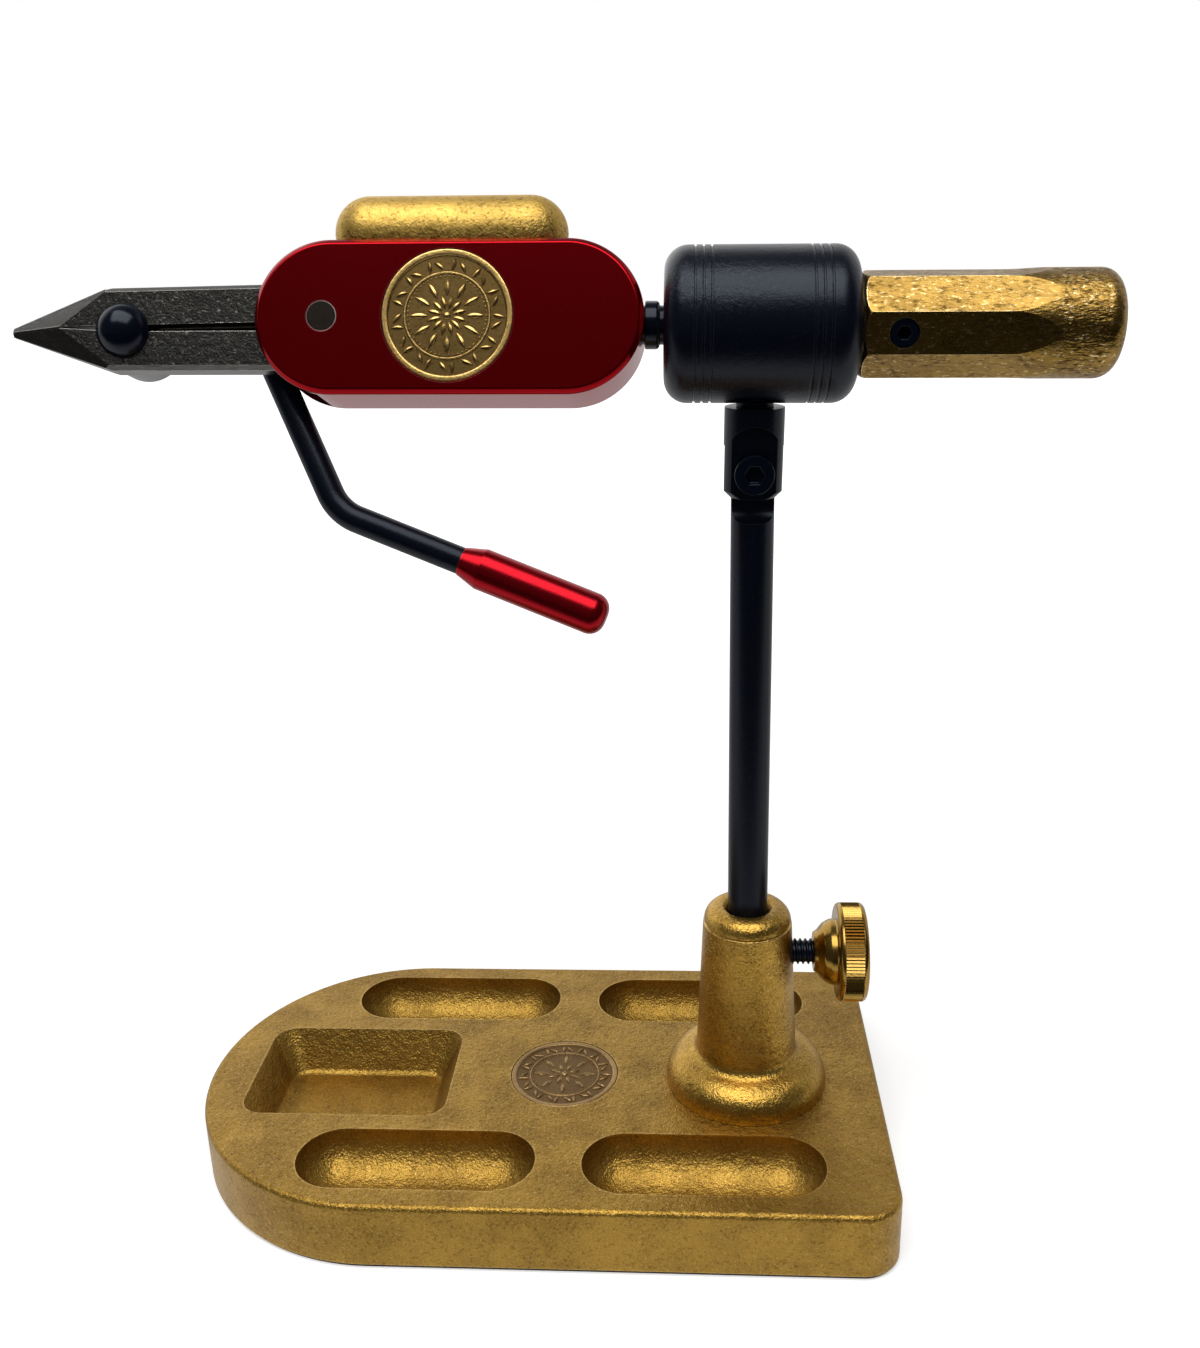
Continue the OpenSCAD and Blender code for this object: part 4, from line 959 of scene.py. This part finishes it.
@dataclass
class Base(Piece):
    """The cast plate with its tray, troughs and the recess for its coin."""

    pad: float = 1.0
    top: float = 17.2
    left: float = -138.3
    right: float = 33.2
    half_width: float = 50.0
    corner: float = 9.0
    edge: float = 1.4
    trough_half: float = 18.05
    trough_r: float = 10.3
    trough_places: tuple[Pair, ...] = ((-11.2, -33.6), (-11.2, 33.6), (-78.8, -33.6), (-78.8, 33.6))
    lip: float = 0.8
    tray_middle: float = -100.8
    tray_half: Pair = (25.7, 18.0)
    tray_lean: float = 5.5
    tray_depth: float = 10.5
    tray_corner: float = 5.5
    tray_least_corner: float = 1.5
    tray_narrowing: float = 1.2
    tray_fillet: float = 2.2
    tray_steps: int = 6
    coin_x: float = -46.4
    coin_r: float = 13.7
    coin_depth: float = 1.55
    coin_edge: float = 0.2
    foot_edge: float = 0.3
    play: float = 0.05

    def outline(self) -> Path:
        """Gives the plate's D outline, anticlockwise.

        Returns:
            The outline.
        """
        inner = self.half_width - self.corner
        return (arc((self.right - self.corner, -inner), self.corner, -90, 0, 10)
                + arc((self.right - self.corner, inner), self.corner, 0, 90, 10)
                + arc((self.left + self.half_width, 0), self.half_width, 90, 270, 96))

    def trough(self, x: float, y: float) -> Solid:
        """Gives the cutter of the trough whose middle is at x and y."""
        return Solid.capsule(self.trough_r, self.trough_half, 12, 64).move(x, y, self.top)

    def tray(self) -> Solid:
        """Gives the tray's cutter, with leaning walls and a filleted floor.

        Returns:
            The cutter.
        """
        lean = self.tray_lean / self.tray_depth
        slope = math.atan(lean)
        fillet = self.tray_fillet
        start = fillet * (1 - math.sin(slope)) - self.tray_depth
        run, corner = -lean * start, self.tray_corner - self.tray_narrowing
        levels = [(1.0, -lean, self.tray_corner + 0.3), (0.0, 0.0, self.tray_corner), (start, run, corner)]
        for i in range(1, self.tray_steps + 1):
            turn = slope + (math.pi / 2 - slope) * i / self.tray_steps
            inward = fillet * (math.cos(slope) - math.cos(turn))
            levels.append((fillet * (1 - math.sin(turn)) - self.tray_depth, run + inward,
                           max(corner - inward, self.tray_least_corner)))
        return Solid.loft([[(x + self.tray_middle, y, self.top + depth) for x, y in rounded_box(
            self.tray_half[0] - inward, self.tray_half[1] - inward, corner, 8)] for depth, inward, corner in levels])

    def make(self) -> None:
        """Makes the plate."""
        plate = Solid.prism(self.outline(), self.pad, self.top)
        plate.bevel(self.edge, 6, where=lambda p: p.z > self.top - 0.1)
        plate.bevel(self.foot_edge, 2, where=lambda p: p.z < self.pad + 0.1)
        plate.cut(*(self.trough(x, y) for x, y in self.trough_places), self.tray())
        recess = Solid.cylinder(self.coin_r + self.play, self.top - self.coin_depth, self.top + 1, 96)
        plate.cut(recess.move(self.coin_x))
        plate.bevel(self.lip, 4, angle=40, where=lambda p: p.z > self.top - 0.02 and not self.on_coin(p))
        plate.bevel(self.coin_edge, 2, angle=40, where=lambda p: p.z > self.top - 0.02 and self.on_coin(p))
        dress("plate", plate, BRONZE, "base", "base_plate", sharp=35)

    def on_coin(self, point: Vector) -> bool:
        """Tells whether a point lies on the edge of the coin's recess."""
        return abs((point.xy - Vector((self.coin_x, 0))).length - self.coin_r) < 0.3


@dataclass
class Pedestal(Piece):
    """The turned column with its rolled foot, crease and domed top."""

    base: float = 17.2
    height: float = 49.0
    stud_z: float = 36.4
    stud_r: float = 3.3
    stud_edge: float = 0.35
    foot_r: float = 20.0
    roll: tuple[Pair, float] = ((13.0, 1.2), 7.0)
    crease: tuple[Pair, float] = ((14.85, 10.52), 2.5)
    shaft: tuple[Pair, Pair] = ((11.6, 27.0), (10.78, 44.6))
    step: tuple[Pair, float] = ((10.55, 44.7), 0.2)
    dome: tuple[Pair, float] = ((6.95, 45.4), 3.6)
    mouth_r: float = 6.0
    bore_r: float = 4.82
    bush_r: float = 6.4
    bush_top: float = 27.7

    def path(self) -> Path:
        """Gives the column's half section.

        Returns:
            The closed path.
        """
        path = [(self.bush_r, 0.0), (self.foot_r - 0.15, 0.0), (self.foot_r, 0.15), (self.foot_r, self.roll[0][1])]
        path += arc(*self.roll, 4, 78.8, 14) + arc(*self.crease, 258.8, 180, 8)[1:]
        path += [*self.shaft] + arc(*self.step, 0, 70, 3) + [(10.28, 44.98), (10.25, 45.12)]
        path += arc(*self.dome, 2, 88, 12)
        path += rounded([(self.dome[0][0], self.height), (self.mouth_r + 0.1, self.height, 0.25),
                         (self.bore_r, self.height - 1.25, 0.2), (self.bore_r, self.bush_top)], steps=3)[1:]
        return path + [(self.bush_r, self.bush_top)]

    def make(self) -> None:
        """Makes the column."""
        column = Solid.lathe(self.path(), 128, ring=True)
        column.cut(Solid.cylinder(self.stud_r, 0, self.foot_r, 48).turn(ALONG_X).move(0, 0, self.stud_z))
        column.bevel(self.stud_edge, 3, angle=40, where=lambda p: p.x > 9 and abs(p.z - self.stud_z) < 4.2)
        place = Matrix.Translation((0, 0, self.base))
        dress("column", column, COLUMN_PAINTED_BRIGHTER, "base", "pedestal", place, sharp=35)


@dataclass
class Coin:
    """A medallion with a rounded rim, beads, a wreath of leaves and a rosette."""

    radius: float
    depth: float = 1.5
    leaves: int = 26
    petals: int = 12
    petal_rows: tuple[Band, Band] = ((0.0, 0.26, 0.115, 0.3), (0.5, 0.2, 0.1, 0.1))
    petal_height: float = 0.4
    beads: int = 54
    relief: float = 0.42
    leaf_size: Band = (2.55, 1.15, 0.42, 0.16)
    leaf_ring: float = 3.75
    leaf_turns: Pair = (-20, 38)
    bead_ring: float = 5.55
    boss_r: float = 0.95

    @staticmethod
    def leaf(length: float, width: float, height: float, bend: float = 0.0) -> Solid:
        """Gives a pointed leaf along x with a ridge down its middle, its foot at the origin.

        Args:
            length: The leaf's length.
            width: Its greatest width.
            height: Its greatest height.
            bend: Sideways bend at its point, as a share of the length.

        Returns:
            The leaf.
        """
        rings = []
        for i in range(9):
            share = i / 8
            half = width / 2 * math.sin(math.pi * min(max(share, 0.02), 0.98)) ** 0.8 * (1.15 - 0.3 * share)
            side = bend * length * share * share
            top = height * (0.35 + 0.65 * math.sin(math.pi * min(max(share, 0.05), 0.95)))
            x = length * share
            rings.append([(x, side - half, -0.15), (x, side - half * 0.55, top * 0.62), (x, side, top),
                          (x, side + half * 0.55, top * 0.62), (x, side + half, -0.15)])
        return Solid.loft(rings)

    def build(self) -> Solid:
        """Builds the coin about the z axis, its back at z = 0.

        Returns:
            The coin.
        """
        r, top = self.radius, self.depth
        field = top - self.relief
        path = rounded([(0, 0), (r, 0, 0.15), (r, top, 0.35), (r - 1.25, top, 0.4), (r - 1.45, field, 0.12),
                        (r - 4.55, field, 0), (r - 4.75, field + 0.22, 0.1), (r - 5.05, field + 0.22, 0.1),
                        (r - 5.2, field, 0), (0, field + 0.04)], steps=4)
        coin = Solid.lathe(path, 128)
        for i, turn in enumerate(turns(self.leaves)):
            leaf = self.leaf(*self.leaf_size).move(-0.6)
            leaf.turn(Matrix.Rotation(math.radians(self.leaf_turns[i % 2]), 4, "Z")).move(r - self.leaf_ring, 0, field)
            coin.add(leaf.turn(Matrix.Rotation(turn, 4, "Z")))
        for phase, length, width, start in self.petal_rows:
            for turn in turns(self.petals, phase):
                petal = self.leaf(length * r, width * r, self.petal_height).move(start * r, 0, field)
                coin.add(petal.turn(Matrix.Rotation(turn, 4, "Z")))
        for turn in turns(self.beads):
            bead = Solid.lathe([(0.2, -0.05), (0.18, 0.1), (0.1, 0.17), (0, 0.19)], 8)
            out = r - self.bead_ring
            coin.add(bead.move(out * math.cos(turn), out * math.sin(turn), field))
        coin.add(Solid.lathe(arc((0, field - 0.4), self.boss_r, 20, 90, 6), 32))
        return coin.raised(field - 0.02, field + 0.36)


@dataclass
class ClampScrew(Piece):
    """The threaded stud and its knurled brass knob, turned about the x axis."""

    height: float = 53.6
    stud_r: float = 3.175
    stud_x: Pair = (4.9, 24.9)
    pitch: float = 1.27
    knob_x: float = 16.1
    hub_len: float = 5.5
    head_len: float = 6.9
    head_r: float = 11.9
    rim: float = 1.2
    ribs: int = 90
    rib_depth: float = 0.3

    def thread(self) -> Solid:
        """Gives the stud with a helical thread, built along z.

        Returns:
            The stud.
        """
        turn, steps = Solid(), 40
        root, crest = self.stud_r - 0.62, self.stud_r - 0.02
        corners = [(root, 0.0), (root, 0.18), (crest, 0.55), (crest, 0.72), (root, 1.09), (root, self.pitch)]
        points = [turn.mesh.verts.new((r, 0, z)) for r, z in corners]
        edges = [turn.mesh.edges.new(pair) for pair in zip(points, points[1:])]
        bmesh.ops.spin(turn.mesh, geom=points + edges, cent=(0, 0, 0), axis=(0, 0, 1), angle=math.tau, steps=steps,
                       dvec=(0, 0, self.pitch / steps))
        start, end = self.stud_x
        whole = Solid.lathe([(0, start), (root - 0.4, start), (root + 0.02, start + 0.4), (root + 0.02, end),
                             (0, end)], steps)
        turn.move(0, 0, start + 0.6)
        for _ in range(int((end - start - 1.0) / self.pitch)):
            whole.add(turn)
            turn.move(0, 0, self.pitch)
        bmesh.ops.remove_doubles(whole.mesh, verts=whole.mesh.verts[:], dist=1e-3)
        return whole.tidy()

    def knob(self) -> Solid:
        """Gives the knob along z, its hub starting at z = 0.

        Returns:
            The knob.
        """
        x0, x1 = self.hub_len, self.hub_len + self.head_len
        r = self.head_r
        path = [(0, 0), (3.6, 0)] + rounded([(3.6, 0), (4.7, 0, 0.35), (5.3, 0.9, 1.0), (7.0, 2.3, 2.2),
                                             (7.9, 4.0, 1.5), (8.0, x0 - 0.3)], steps=6)[1:]
        path += rounded([(8.0, x0 - 0.25), (8.25, x0, 0.1), (r, x0, 1.1), (r, x0 + 1.3)], steps=5)[1:]
        path += [(r, x1 - self.rim - 0.1)] + arc((r - self.rim, x1 - self.rim), self.rim, 4, 90, 8)
        path += rounded([(r - self.rim - 1.0, x1, 0), (8.2, x1, 0.3), (7.4, x1 - 0.8, 0.3), (0, x1 - 0.8)], steps=3)
        knob = Solid.lathe(path, 2 * self.ribs)

        def knurl(point: Vector) -> Vector:
            """Sinks every other line of points on the head's side.

            Args:
                point: A point of the knob.

            Returns:
                Its new place.
            """
            out = point.xy.length
            if out < r - 0.05 or not x0 + 1.15 < point.z < x1 - 1.25:
                return point
            step = round(math.atan2(point.y, point.x) / math.tau * 2 * self.ribs)
            if step % 2:
                scale = (out - self.rib_depth) / out
                return Vector((point.x * scale, point.y * scale, point.z))
            return point

        return knob.shift(knurl)

    def make(self) -> None:
        """Makes the stud and the knob."""
        across = Matrix.Translation((0, 0, self.height)) @ ALONG_X
        dress("stud", self.thread(), BLACK, "clamp_stud", "clamp_stud", across)
        dress("thumb_knob", self.knob().move(0, 0, self.knob_x), BRIGHT, "clamp_knob", "clamp_knob",
              across, sharp=20)


@dataclass
class Mast(Piece):
    """The stem, the neck on its lap joint and their screw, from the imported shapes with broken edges."""

    def make(self) -> None:
        """Makes the three pieces."""
        stem = Solid.copy_of("stem", self.places.level).bevel(0.22, 2, 25)
        dress("stem_bar", stem, BLACK, "stem", "stem", self.places.level)
        neck = Solid.copy_of("neck", self.places.tilted).bevel(0.25, 2, 25)
        dress("neck_lug", neck, BLACK, "barrel", "neck", self.places.tilted)
        screw = Solid.copy_of("tilt_screw", self.places.level).bevel(0.3, 3, 40)
        dress("tilt_cap_screw", screw, GLOSS, "stem", "tilt_screw", self.places.level)


@dataclass
class Barrel(Piece):
    """The rotary barrel with three fine grooves at each end."""

    x: Pair = (-19.45, 20.45)
    radius: float = 16.05
    end_round: float = 5.0
    groove_inset: float = 6.1
    groove_pitch: float = 1.7
    groove_w: float = 0.5
    groove_depth: float = 0.35
    bore_r: float = 7.5
    seat_r: float = 9.5
    seat_depth: float = 6.3

    def path(self) -> Path:
        """Gives the barrel's half section along its axis.

        Returns:
            The closed path.
        """
        x0, x1, r = self.x[0], self.x[1], self.radius
        path = rounded([(self.seat_r, x0 + self.seat_depth), (self.seat_r, x0, 0.3),
                        (r - self.end_round, x0)], steps=2)
        path += arc((r - self.end_round, x0 + self.end_round), self.end_round, -90, 0, 16)[1:]
        starts = [x0 + self.groove_inset + i * self.groove_pitch for i in range(3)]
        starts += [x1 - self.groove_inset - (2 - i) * self.groove_pitch - self.groove_w for i in range(3)]
        for start in starts:
            low, high = start, start + self.groove_w
            path += rounded([(r, low - 0.3), (r, low, 0.08), (r - self.groove_depth, low + 0.05, 0.1),
                             (r - self.groove_depth, high - 0.05, 0.1), (r, high, 0.08), (r, high + 0.3)], steps=2)
        path += arc((r - self.end_round, x1 - self.end_round), self.end_round, 0, 90, 16)
        path += rounded([(r - self.end_round - 0.2, x1), (self.seat_r, x1, 0.3),
                         (self.seat_r, x1 - self.seat_depth)], steps=2)
        return path + [(self.bore_r, x1 - self.seat_depth), (self.bore_r, x0 + self.seat_depth)]

    def make(self) -> None:
        """Makes the barrel."""
        dress("rotary_barrel", Solid.lathe(self.path(), 160, ring=True).turn(ALONG_X), BARREL, "barrel",
              "barrel", self.places.barrel, sharp=40)


@dataclass
class HeadKnob(Piece):
    """The brass knob with eight flats that run out in pointed arches, and its set screw."""

    x: Pair = (21.05, 73.15)
    radius: float = 11.1
    front_round: float = 1.6
    end_round: float = 4.0
    flats: int = 8
    phase: float = math.radians(2)
    flats_end: float = 50.05
    runout: float = 10.7
    screw_x: float = 28.95
    screw_r: float = 3.0
    bore_r: float = 4.0
    bore_depth: float = 25.0
    edge: float = 0.13

    def flat(self, turn: float) -> Solid:
        """Gives the cutter of one flat, which rises to the knob's surface past the flat's end.

        Args:
            turn: The flat's turn about the knob.

        Returns:
            The cutter.
        """
        low = self.radius * math.cos(math.pi / self.flats)
        rise, end = self.radius - low, self.flats_end + self.runout
        under = [(self.x[0] - 1, low)] + [(self.flats_end + self.runout * t, self.radius - rise * (1 - t * t) ** 2)
                                          for t in (i / 12 for i in range(13))]
        outline = under + [(end + 3, self.radius + 0.6), (end + 3, self.radius + 4), (self.x[0] - 1, self.radius + 4)]
        return Solid.prism(outline, -7, 7).turn(Matrix.Rotation(turn, 4, "X") @ TO_FRONT)

    def make(self) -> None:
        """Makes the knob and the set screw."""
        x0, x1, r = self.x[0], self.x[1], self.radius
        deep = x0 + self.bore_depth
        path = rounded([(self.bore_r, deep), (self.bore_r, x0, 0.3), (r, x0, self.front_round), (r, x0 + 8)], steps=6)
        path += arc((r - self.end_round, x1 - self.end_round), self.end_round, 0, 90, 14) + [(0, x1), (0, deep)]
        knob = Solid.lathe(path, 192).turn(ALONG_X)
        knob.cut(*(self.flat(turn + self.phase) for turn in turns(self.flats, 0.5)))
        to_screw = Matrix.Rotation(math.pi / 2 + math.pi / self.flats + self.phase, 4, "X")
        hole = Solid.cylinder(self.screw_r + 0.02, 4, 14, 48).move(self.screw_x)
        knob.cut(hole.turn(to_screw))
        knob.bevel(self.edge, 2, 12, where=lambda p: p.x < self.flats_end + self.runout + 0.5)
        dress("brass_knob", knob, BRASS, "head", "head_knob", self.places.head, sharp=7)
        screw = Solid.copy_of("knob_set_screw", self.places.head).bevel(0.25, 3, 40)
        dress("set_screw", screw, GLOSS, "head", "knob_set_screw", self.places.head)


@dataclass
class Housing(Piece):
    """The red head block with its counterweight, spindle and cam pin."""

    x: Pair = (-104.4, -23.4)
    radius: float = 16.0
    half_t: float = 8.75
    chamfer: float = 1.05
    slot_end: float = -91.5
    slot_half: float = 6.35
    pocket: Band = (-65.8, 0.075, -11.35, 9.02)
    pin_x: float = -90.1
    pin_r: float = 3.225
    hub_r: float = 7.3
    hub_y: Pair = (-0.15, 6.35)
    edges: Triple = (0.28, 0.3, 0.18)
    play: float = 0.05
    middle: float = -63.9
    coin_r: float = 13.7
    coin_floor: float = -7.2
    weight_x: float = -64.5
    weight_r: float = 7.8
    weight_half: float = 16.95
    weight_z: float = 19.3

    def bar(self, radius: float) -> Solid:
        """Gives the counterweight's form with a given radius."""
        return Solid.capsule(radius, self.weight_half, 20, 96).move(self.weight_x, 0, self.weight_z)

    def block(self) -> Solid:
        """Gives the red block.

        Returns:
            The block.
        """
        x0, x1, r = self.x[0], self.x[1], self.radius
        outline = arc((x0 + r, 0), r, 90, 270, 72) + arc((x1 - r, 0), r, -90, 90, 72)
        block = Solid.prism(outline, -self.half_t, self.half_t).turn(TO_FRONT)
        block.bevel(self.chamfer, 1, 60).bevel(self.edges[0], 2, 25)
        end, y_end, low, high = self.pocket
        block.cut(
            Solid.box((x0 - 1, -self.slot_half, -20), (self.slot_end, self.slot_half, 20)),
            Solid.box((self.slot_end - 1, -self.slot_half, low), (end, y_end, high)),
            Solid.cylinder(self.hub_r, *self.hub_y, 64).turn(TO_BACK).move(self.pin_x),
            Solid.cylinder(self.pin_r, -20, 20, 64).turn(TO_BACK).move(self.pin_x),
            Solid.cylinder(self.coin_r + self.play, 0, 5, 96).turn(TO_FRONT).move(self.middle, self.coin_floor),
            self.bar(self.weight_r + self.play))
        block.bevel(self.edges[1], 2, 50, where=self.on_slot)
        return block.bevel(self.edges[2], 2, 50, where=lambda p: abs(p.y) > self.half_t - 0.01)

    def on_slot(self, point: Vector) -> bool:
        """Tells whether a point lies on the outside edge of the slot."""
        return point.x < self.slot_end - 0.5 and abs(abs(point.y) - self.slot_half) < 0.01

    def make(self) -> None:
        """Makes the head's fixed pieces."""
        dress("red_block", self.block(), RED, "head", "head_housing", self.places.head)
        dress("brass_bar", self.bar(self.weight_r), BAR_BRASS, "head", "counterweight", self.places.head,
              sharp=30)
        spindle = Solid.copy_of("spindle", self.places.head).bevel(0.2, 2, 35)
        dress("spindle_bar", spindle, GLOSS, "head", "spindle", self.places.head)
        pin = Solid.copy_of("cam_pin", self.places.head).bevel(0.38, 1, 40)
        dress("pin_bar", pin, (PIN, PIN_FACE), "lever", "cam_pin", self.places.head,
              pick=lambda normal: 1 if abs(normal.y) > 0.99 else 0)


@dataclass
class Lever(Piece):
    """The bent black rod on its hub, with the red grip."""

    boss: Pair = (-105.56, -3.37)
    y: float = 3.175
    radius: float = 3.0
    seat: float = 3.95
    corner: Pair = (-89.14, -39.07)
    bend: float = 11.0
    grip: Pair = (-62.3, -49.5)
    grip_len: float = 33.5
    grip_r: float = 4.55
    cone: float = 4.6
    end_round: float = 3.4

    def path(self) -> list[Vector]:
        """Gives the rod's middle line, from its seat to inside the grip.

        Returns:
            The points of the line.
        """
        boss, corner, grip = Vector(self.boss), Vector(self.corner), Vector(self.grip)
        start = boss + (corner - boss).normalized() * self.seat
        end = grip + (grip - corner).normalized() * 4
        line = rounded([tuple(start), (*corner, self.bend), tuple(end)], steps=24)
        return [Vector((x, self.y, z)) for x, z in line]

    def make(self) -> None:
        """Makes the hub, the rod and the grip."""
        hub = Solid.copy_of("lever_hub", self.places.head).bevel(0.3, 2, 35)
        dress("hub_block", hub, BLACK, "lever", "lever_hub", self.places.head)
        line = self.path()
        rod = Solid.tube(line, self.radius, Vector((0, 1, 0)), 48)
        dress("bent_rod", rod, BLACK, "lever", "lever_rod", self.places.head, sharp=35)
        r, length = self.grip_r, self.grip_len
        path = rounded([(2.7, 3.0), (2.7, 0.0), (self.radius + 0.15, 0.0, 0.1), (r, self.cone, 1.2),
                        (r, length, self.end_round), (0, length)], steps=10)
        path.append((0, 3.0))
        grip = Solid.lathe(path, 72)
        along = (Vector(self.grip) - Vector(self.corner)).normalized()
        axis = Vector((along.x, 0, along.y))
        place = self.places.head @ Matrix.Translation((self.grip[0], self.y, self.grip[1])) @ \
            axis.to_track_quat("Z", "Y").to_matrix().to_4x4()
        dress("red_grip", grip, BRIGHT_RED, "lever", "lever_grip", place, sharp=35)


@dataclass
class Jaws(Piece):
    """The two steel jaws with the domed button and nut of their cross pin."""

    x: float = -133.1
    z: float = -2.05
    button_r: float = 5.65
    button_h: float = 4.2
    button_y: float = -6.35
    nut_r: float = 8.0
    nut_len: float = 7.6
    nut_dome: float = 4.4
    nut_y: float = 0.15
    pin_r: float = 2.0
    pin_len: float = 9.5
    lip_low: Triple = (-129.5, -2.6, -2.31)
    lip_high: Triple = (-101.0, -0.15, 0.5)

    @staticmethod
    def dome(radius: float, height: float, edge: float) -> Path:
        """Gives the half section of a dome with a small rounded edge, its foot at height zero.

        Args:
            radius: The dome's radius.
            height: Its height.
            edge: Height of its edge.

        Returns:
            The path.
        """
        sphere = (radius * radius + height * height) / (2 * height)
        start = math.degrees(math.asin((edge + sphere - height) / sphere))
        return [(0, 0), (radius - 0.25, 0), (radius - 0.02, 0.2)] + arc((0, height - sphere), sphere, start, 90, 24)

    def make(self) -> None:
        """Makes both jaws and their cross pin."""
        def face(normal: Vector) -> int:
            """Gives the dark finish to the broad sides and the ground one to the rest."""
            return 0 if abs(normal.y) > 0.995 else 1

        for name in ("upper_jaw", "lower_jaw"):
            jaw = Solid.copy_of(name, self.places.head).bevel(0.1, 2, 8)
            if name == "upper_jaw":
                jaw.add(Solid.box(self.lip_low, self.lip_high))
            dress(name + "_bar", jaw, (JAW_FACE, JAW_EDGE), name, name, self.places.head, sharp=6, pick=face)
        button = Solid.lathe(self.dome(self.button_r, self.button_h, 0.5), 96).turn(TO_FRONT)
        pin = Solid.cylinder(self.pin_r, -1, self.pin_len, 32).turn(TO_BACK)
        button.add(pin).move(self.x, self.button_y, self.z)
        dress("dome_button", button, GLOSS, "lower_jaw", "jaw_cross_pin", self.places.head, sharp=30)
        crown = [(radius, z + self.nut_len) for radius, z in self.dome(self.nut_r, self.nut_dome, 0.4)[2:]]
        side = rounded([(0, 0), (self.nut_r, 0, 0.3), (self.nut_r, self.nut_len)], steps=3)
        nut = Solid.lathe(side + crown, 96).turn(TO_BACK).move(self.x, self.nut_y, self.z)
        dress("dome_nut", nut, GREY, "lower_jaw", "jaw_cross_nut", self.places.head, sharp=30)


@dataclass
class Medallions(Piece):
    """The coin in the housing and the one in the plate."""

    radius: float = 13.7
    head: Triple = (-63.9, -7.25, 0)
    base: Triple = (-46.4, 0, 15.7)

    def make(self) -> None:
        """Makes both coins."""
        dress("head_coin", Coin(self.radius).build(), HEAD_COIN, "head", "head_medallion",
              self.places.head @ Matrix.Translation(self.head) @ TO_FRONT)
        dress("base_coin", Coin(self.radius, leaves=30, petals=8, beads=60).build(), COPPER, "base",
              "base_medallion", Matrix.Translation(self.base))


def main() -> None:
    """Builds the scene."""
    logging.basicConfig(level=logging.INFO)
    Camera().make()
    Studio().make()
    for name, node in frame["nodes"].items():
        node.data.materials.clear()
        node.data.materials.append(NODE_FINISH.get(name, PIN).build())
    places = Places.read()
    for assembly in (Base, Pedestal, ClampScrew, Mast, Barrel, HeadKnob, Housing, Lever, Jaws, Medallions):
        assembly(places).make()
    bpy.context.scene.view_settings.view_transform = "Standard"


if __name__ == "__main__":
    main()
